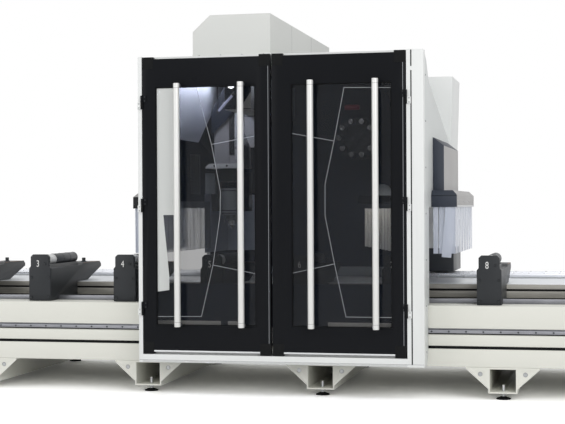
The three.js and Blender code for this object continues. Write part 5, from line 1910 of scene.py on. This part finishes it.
@dataclass
class ToolHead:
    """Column, drive, carriage, ram, fork, spindle, tool and magazine, with covers, bolts and cable chain."""

    cover: float = 0.012
    rib_pitch: float = 0.017
    rib_width: float = 0.007
    rib_rise: float = 0.004
    bolt: float = 0.008
    plate_height: float = 0.036
    cap_radius: float = 0.048
    cap_length: float = 0.008
    bolt_circle: float = 0.75
    nozzle_radius: float = 0.004
    nozzle_length: float = 0.055
    nozzle_nut: float = 0.012
    nose_length: float = 0.040
    ring_rise: float = 0.0015
    fin_count: int = 9
    guard_sheet: float = 0.003
    ram_sides: Pair = (-0.340, -0.101)
    ram_front: float = DOOR_FACE_Y + 0.990
    ram_foot: float = 1.675
    ram_shoulder: float = 1.936
    ram_gap: float = 0.004
    plain_side: float = -0.118
    channel_sides: Pair = (-0.116, -0.074)
    ribbed_sides: Pair = (-0.070, -0.004)
    block_sides: Pair = (-0.066, -0.012)
    tilt_pivot: Pair = (DOOR_FACE_Y + 1.100, 1.400)
    fork_front: float = DOOR_FACE_Y + 1.025
    pockets: int = 10
    pocket_radius: float = 0.030
    magazine_face: float = DOOR_FACE_Y + 1.5895
    hub_circle: float = 0.045
    chain_start: float = DOOR_FACE_Y + 0.30
    chain_end: float = DOOR_FACE_Y + 1.68
    chain_sides: Pair = (0.030, 0.110)
    chain_foot: float = 2.3302
    chain_top: float = 2.368
    link_length: float = 0.045
    link_gap: float = 0.006
    column_front: float = DOOR_FACE_Y + 1.7585
    reel_place: Pair = (0.868, 1.455)
    pleats: int = 8
    pleat_low: Pair = (0.722, 0.985)
    pleat_high: Pair = (0.940, 1.335)
    pleat_turn: float = math.radians(12)
    pleat_light: Pair = (0.712, 0.968)
    pleat_light_foot: float = 1.400
    pleat_light_reach: float = 0.300
    pleat_light_depth: float = 0.076
    pleat_light_tilt: float = HEADER_TILT * 1.5

    def build(self) -> None:
        """Builds every piece between the column and the tool."""
        for node, finish, slot, width, segments in (
            ("gantry_column", CAST_GREY, "cast_grey", 0.003, 2),
            ("x_drive_motor", MACHINE_DARK, "motor_dark", 0.006, 3),
            ("drive_pinion", TURNED_STEEL, "tool_steel", 0.001, 1),
            ("y_carriage", CAST_GREY, "cast_grey", 0.003, 2),
            ("z_ram", RAM_COVER, "cover_grey", 0.004, 3),
            ("c_fork", MACHINE_DARK, "motor_dark", 0.005, 3),
            ("spindle_head", CAST_GREY, "cast_grey", 0.004, 3),
            ("tool_holder", TURNED_STEEL, "tool_steel", 0.0008, 1),
            ("tool_magazine", MACHINE_DARK, "motor_dark", 0.003, 2),
        ):
            soften(node, finish, slot, width, segments)
        self._motor()
        self._ram()
        self._ram_flange()
        self._fork()
        self._spindle()
        self._magazine()
        self._cable_chain()
        self._column_fittings()
        self._pleated_cover()
        self._pleat_light()
        self._carriage_covers()
        self._ribbed_covers()

    def _motor(self) -> None:
        """Adds the motor's cooling fins, flange bolts and plug."""
        low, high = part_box("x_drive_motor")
        rise = self.rib_rise
        fins = [
            ((low.x - rise, low.y - rise, z), (high.x + rise, high.y + rise, z + self.rib_width / 2))
            for z in spaced(low.z + 0.03, high.z - 0.05, self.fin_count)
        ]
        blocks("motor_fins", fins, rise / 4, MACHINE_DARK)
        place = ((low.x + high.x) / 2, low.y - self.cap_length, high.z - 0.03)
        plug = Shape.rod("motor_plug", place, self.bolt * 1.8, self.cap_length * 3, Axis.Y, 24)
        plug.bevelled(self.cap_length / 6).dressed(RUBBER)
        corners = [
            (x, y, high.z) for x in (low.x + 0.016, high.x - 0.016) for y in (low.y + 0.016, high.y - 0.016)
        ]
        screws_at("motor_bolts", self.bolt / 1.6, UP, corners)

    def _ram(self) -> None:
        """Adds the ram's front covers: a plain one, a dark channel, a ribbed light one and a block."""
        front, bottom, top = self.ram_front, self.ram_foot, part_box("z_ram")[1].z - 0.006
        left, right = self.ram_sides
        corner = (left + self.ram_gap, front - self.cover, bottom + 0.02)
        cover = Shape.box("ram_front_cover", corner, (right + self.plain_side, front, top))
        cover.sliced((left + self.ram_gap, front, self.ram_shoulder), (-0.707, 0.0, 0.707))
        cover.bevelled(0.003, 3).dressed(RAM_COVER, "ram")
        start, end = (right + side for side in self.channel_sides)
        low, high = (start, front - self.cover * 1.3, bottom + 0.08), (end, front, top)
        block("ram_dark_channel", low, high, 0.010, MACHINE_DARK, "ram", 4)
        face = front - self.cover * 1.5
        start, end = (right + side for side in self.ribbed_sides)
        ribbed = Shape.box("ram_ribbed_cover", (start, face, bottom + 0.14), (end, front, top))
        count = int((top - bottom - 0.17) / self.rib_pitch)
        ribs = [
            Shape.box("rib", (start, face - self.rib_rise, z), (end, face, z + self.rib_width))
            for z in spaced(bottom + 0.15, top - self.rib_pitch, count)
        ]
        ribbed.bevelled(0.003).joined(ribs).dressed(RAM_LIGHT, "ram")
        start, end = (right + side for side in self.block_sides)
        low, high = (start, front - self.cover * 2.6, bottom + 0.045), (end, front, bottom + 0.125)
        block("ram_block", low, high, 0.006, RAM_LIGHT, "ram", 3)

    def _ram_flange(self) -> None:
        """Adds the bolted flange plate at the ram's foot."""
        low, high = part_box("z_ram")
        face, top = low.y - self.cover / 2, low.z + self.plate_height
        flange = Shape.box("ram_flange_plate", (low.x, face, low.z - self.ring_rise), (high.x, low.y, top))
        flange.sliced((low.x + 0.03, low.y, top), (-0.72, 0.0, 0.69))
        flange.bevelled(0.001).dressed(RAM_LIGHT, "ram")
        places = [(x, face, low.z + self.plate_height / 2) for x in spaced(low.x + 0.075, high.x - 0.03, 3)]
        screws_at("ram_flange_bolts", self.bolt, FRONT, places, ZINC_DARK, "ram")

    def _fork(self) -> None:
        """Adds the fork's round bearing covers with bolts and its side cover."""
        low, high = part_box("c_fork")
        sixths = spaced(0.0, math.tau * 5 / 6, 6)
        for name, x, outward in (("left", low.x, LEFT), ("right", high.x, RIGHT)):
            reach = outward[0] * self.cap_length
            place = (x + reach / 2, *self.tilt_pivot)
            cap = Shape.rod(f"fork_{name}_cover", place, self.cap_radius, self.cap_length, Axis.X, 48)
            cap.bevelled(self.cap_length / 4, 3).dressed(RAM_COVER, "fork")
            circle = ring_of(self.tilt_pivot, self.cap_radius * self.bolt_circle, sixths)
            places = [(x + reach, y, z) for y, z in circle]
            screws_at(f"fork_{name}_bolts", self.bolt / 2, outward, places, ZINC_DARK, "fork")
        start = (low.x - 0.044, self.fork_front - self.cover / 2, low.z + 0.135)
        end = (low.x + 0.034, self.fork_front + 0.10, high.z - 0.036)
        block("fork_side_cover", start, end, 0.004, FORK_LIGHT, "fork", 3)

    def _spindle(self) -> None:
        """Adds the spindle's housing rings and coolant nozzles."""
        low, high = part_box("spindle_head")
        x, y = (low.x + high.x) / 2, (low.y + high.y) / 2
        radius = (high.y - low.y) / 2
        rings = [
            Shape.rod("spindle_rings", (x, y, z), radius + self.ring_rise / 2, self.rib_width, sides=48)
            for z in (low.z + 0.055, low.z + 0.075, high.z - 0.02)
        ]
        Shape.merged(rings).bevelled(self.ring_rise / 3, 1).dressed(MACHINE_DARK, "spindle")
        nose, length, nut = low.z + self.nose_length, self.nozzle_length, self.nozzle_nut
        nozzles = []
        for place in ring_of((x, y), radius * 0.8, spaced(math.radians(45), math.radians(315), 4)):
            middle, root = (*place, nose - length / 2), (*place, nose - nut / 2)
            nozzles.append(Shape.rod("coolant_nozzles", middle, self.nozzle_radius, length, sides=16))
            nozzles.append(Shape.rod("nozzle_nut", root, self.nozzle_radius * 1.9, nut, sides=6))
        Shape.merged(nozzles).dressed(ZINC_STEEL, "spindle")

    def _magazine(self) -> None:
        """Adds a tool tip in every pocket and a ring of bolts on the magazine's hub."""
        low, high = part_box("tool_magazine")
        x, z = (low.x + high.x) / 2, (low.z + high.z) / 2
        radius, pocket = (high.x - low.x) / 2 - self.pocket_radius, self.pocket_radius
        angles = [math.tau * i / self.pockets for i in range(self.pockets)]
        rod = partial(Shape.rod, axis=Axis.Y)
        tips = []
        for at_x, at_z in ring_of((x, z), radius, angles):
            tips.append(rod("magazine_tools", (at_x, low.y - 0.02, at_z), pocket * 0.35, 0.04, sides=16))
            tips.append(rod("tool_collar", (at_x, low.y - 0.004, at_z), pocket * 0.7, 0.008, sides=20))
        Shape.merged(tips).dressed(TURNED_STEEL, "magazine")
        sixths = spaced(0.0, math.tau * 5 / 6, 6)
        places = [(at_x, self.magazine_face, at_z) for at_x, at_z in ring_of((x, z), self.hub_circle, sixths)]
        screws_at("magazine_bolts", self.bolt / 1.6, FRONT, places, body="magazine")

    def _cable_chain(self) -> None:
        """Lays the cable chain's links along the top of the beam."""
        (left, right), foot, top = self.chain_sides, self.chain_foot, self.chain_top
        y = self.chain_start
        links = []
        while y < self.chain_end:
            links.append(Shape.box("cable_chain", (left, y, foot), (right, y + self.link_length, top)))
            y += self.link_length + self.link_gap
        end = (right - 0.01, y - self.link_gap, top - 0.008)
        spine = Shape.box("chain_spine", (left + 0.01, self.chain_start, foot), end)
        Shape.merged([*links, spine]).bevelled(0.002).dressed(RUBBER)

    def _column_fittings(self) -> None:
        """Adds the red signal light and the hose reel on the column's front."""
        front, (x, z) = self.column_front, self.reel_place
        signal = Shape.rod("signal_light", (0.623, front - 0.02, 2.163), 0.022, 0.124, Axis.X, 32)
        signal.bevelled(0.010, 4).dressed(SIGNAL_RED)
        rod = partial(Shape.rod, axis=Axis.Y, sides=48)
        reel = rod("hose_reel", (x, front - 0.035, z), 0.070, 0.06)
        reel.inset(toward(FRONT), 0.012, -0.008).bevelled(0.004, 3)
        rims = [rod("rim", (x, front - depth, z), 0.078, 0.006) for depth in (0.006, 0.062)]
        reel.joined(rims).dressed(FORK_LIGHT)

    def _pleated_cover(self) -> None:
        """Adds the pleated cover on the column's front."""
        (left, foot), (right, top) = self.pleat_low, self.pleat_high
        front, pitch = self.column_front, (right - left) / self.pleats
        folds = [
            Shape.box(
                "column_pleated_cover",
                (left + pitch * i, front - 0.022, foot + 0.005 * (self.pleats - i)),
                (left + pitch * (i + 0.9), front - 0.004, top),
            ).turned(self.pleat_turn, "Z", (left + pitch * (i + 0.5), front - 0.012, 0.0))
            for i in range(self.pleats)
        ]
        Shape.merged(folds).bevelled(0.003).dressed(PLEAT_WHITE)

    def _pleat_light(self) -> None:
        """Adds the short lamp bar over the pleated cover, on two arms and tilted towards the cover."""
        (x0, x1), z = self.pleat_light, self.pleat_light_foot
        front = self.column_front - self.pleat_light_reach
        back = front + self.pleat_light_depth
        pivot = (0.0, (front + back) / 2, z)
        bar = Shape.box("pleat_light_bar", (x0, front, z), (x1, back, z + 0.016))
        bar.inset(toward(DOWN), 0.005, -0.004).bevelled(0.0015).turned(self.pleat_light_tilt, "X", pivot)
        arms = [
            Shape.box("arm", (x, pivot[1], z + 0.010), (x + 0.012, self.column_front, z + 0.020))
            for x in (x0 + 0.030, x1 - 0.042)
        ]
        bar.joined(arms).dressed(MACHINE_DARK)
        low, high = (x0 + 0.006, front + 0.006, z + 0.0025), (x1 - 0.006, back - 0.006, z + 0.0045)
        lens = Shape.box("pleat_light_lens", low, high).bevelled(0.0004, 1)
        lens.turned(self.pleat_light_tilt, "X", pivot).dressed(PLEAT_LENS)

    def _carriage_covers(self) -> None:
        """Adds the slanted guard before the ram's shoulder, and the beam's nose plate and underside cover."""
        low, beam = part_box("y_carriage")[0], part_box("gantry_column")[0]
        corner = (-0.350, low.y - self.guard_sheet, 1.915)
        guard = Shape.box("ram_shoulder_guard", corner, (low.x + 0.040, low.y, 2.285))
        guard.sliced((-0.193, 0.0, 2.064), (0.688, 0.0, -0.726))
        guard.sliced((-0.345, 0.0, 2.100), (-0.883, 0.0, 0.469))
        # The guard is navy: painted shade.
        guard.bevelled(self.guard_sheet / 4).dressed(NAVY_PAINTED_SHADE, "y_slide")
        corner = (-0.056, beam.y - 0.002, 2.063)
        # The nose plate is navy: painted shade.
        block("beam_nose_plate", corner, (0.136, beam.y, 2.3275), 0.0005, NAVY_PAINTED_SHADE)
        corner = (-0.054, beam.y + 0.004, 2.056)
        block("beam_soffit_cover", corner, (0.136, -0.240, 2.060), 0.001, PLEAT_WHITE)

    def _ribbed_covers(self) -> None:
        """Adds the ribbed covers on the carriage and on the beam's end, each with one corner cut off."""
        low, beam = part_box("y_carriage")[0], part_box("gantry_column")[0]
        rise, width = self.rib_rise, self.rib_width
        for name, (x0, x1), (z0, z1), y, cut, body, finish in (
            (
                "carriage_ribbed_cover",
                (low.x + 0.004, 0.030),
                (1.812, 2.050),
                low.y,
                ((-0.038, 0.0, 1.811), (-0.926, 0.0, -0.376)),
                "y_slide",
                RAM_LIGHT,
            ),
            (
                "beam_end_cover",
                (0.068, 0.138),
                (2.066, 2.326),
                beam.y,
                ((0.091, 0.0, 2.1135), (-0.836, 0.0, 0.549)),
                "gantry",
                PLEAT_WHITE,
            ),
        ):
            face = y - self.cover / 2
            sheet = Shape.box(name, (x0, face, z0), (x1, y, z1)).bevelled(0.002)
            ribs = [
                Shape.box("rib", (x0 + rise, face - rise, z), (x1 - rise, face, z + width))
                for z in spaced(z0 + width, z1 - self.rib_pitch, 14)
            ]
            sheet.joined(ribs).sliced(*cut).dressed(finish, body)


def main() -> None:
    """Builds every sub-assembly in order."""
    logging.basicConfig(level=logging.INFO, format="%(name)s: %(message)s")
    bpy.context.scene.view_settings.view_transform = "Standard"
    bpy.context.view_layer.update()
    Studio().build()
    LOG.info("studio is set")
    Bed().build()
    for number in range(1, 7):
        CrossBeam(number).build()
    Clamps().build()
    doors = (Door("left", LEFT_LINES, trim_inset=0.016), Door("right", RIGHT_LINES, trim_inset=0.021))
    for door in doors:
        door.build()
    doors[0].film()
    Cabin().build()
    hoods = (Hood("left", HOOD_BLACK), Hood("right", HOOD_SLATE))
    for hood in hoods:
        hood.build()
    hoods[0].inner_curtain()
    Cabinet().build()
    ToolHead().build()


if __name__ == "__main__":
    main()
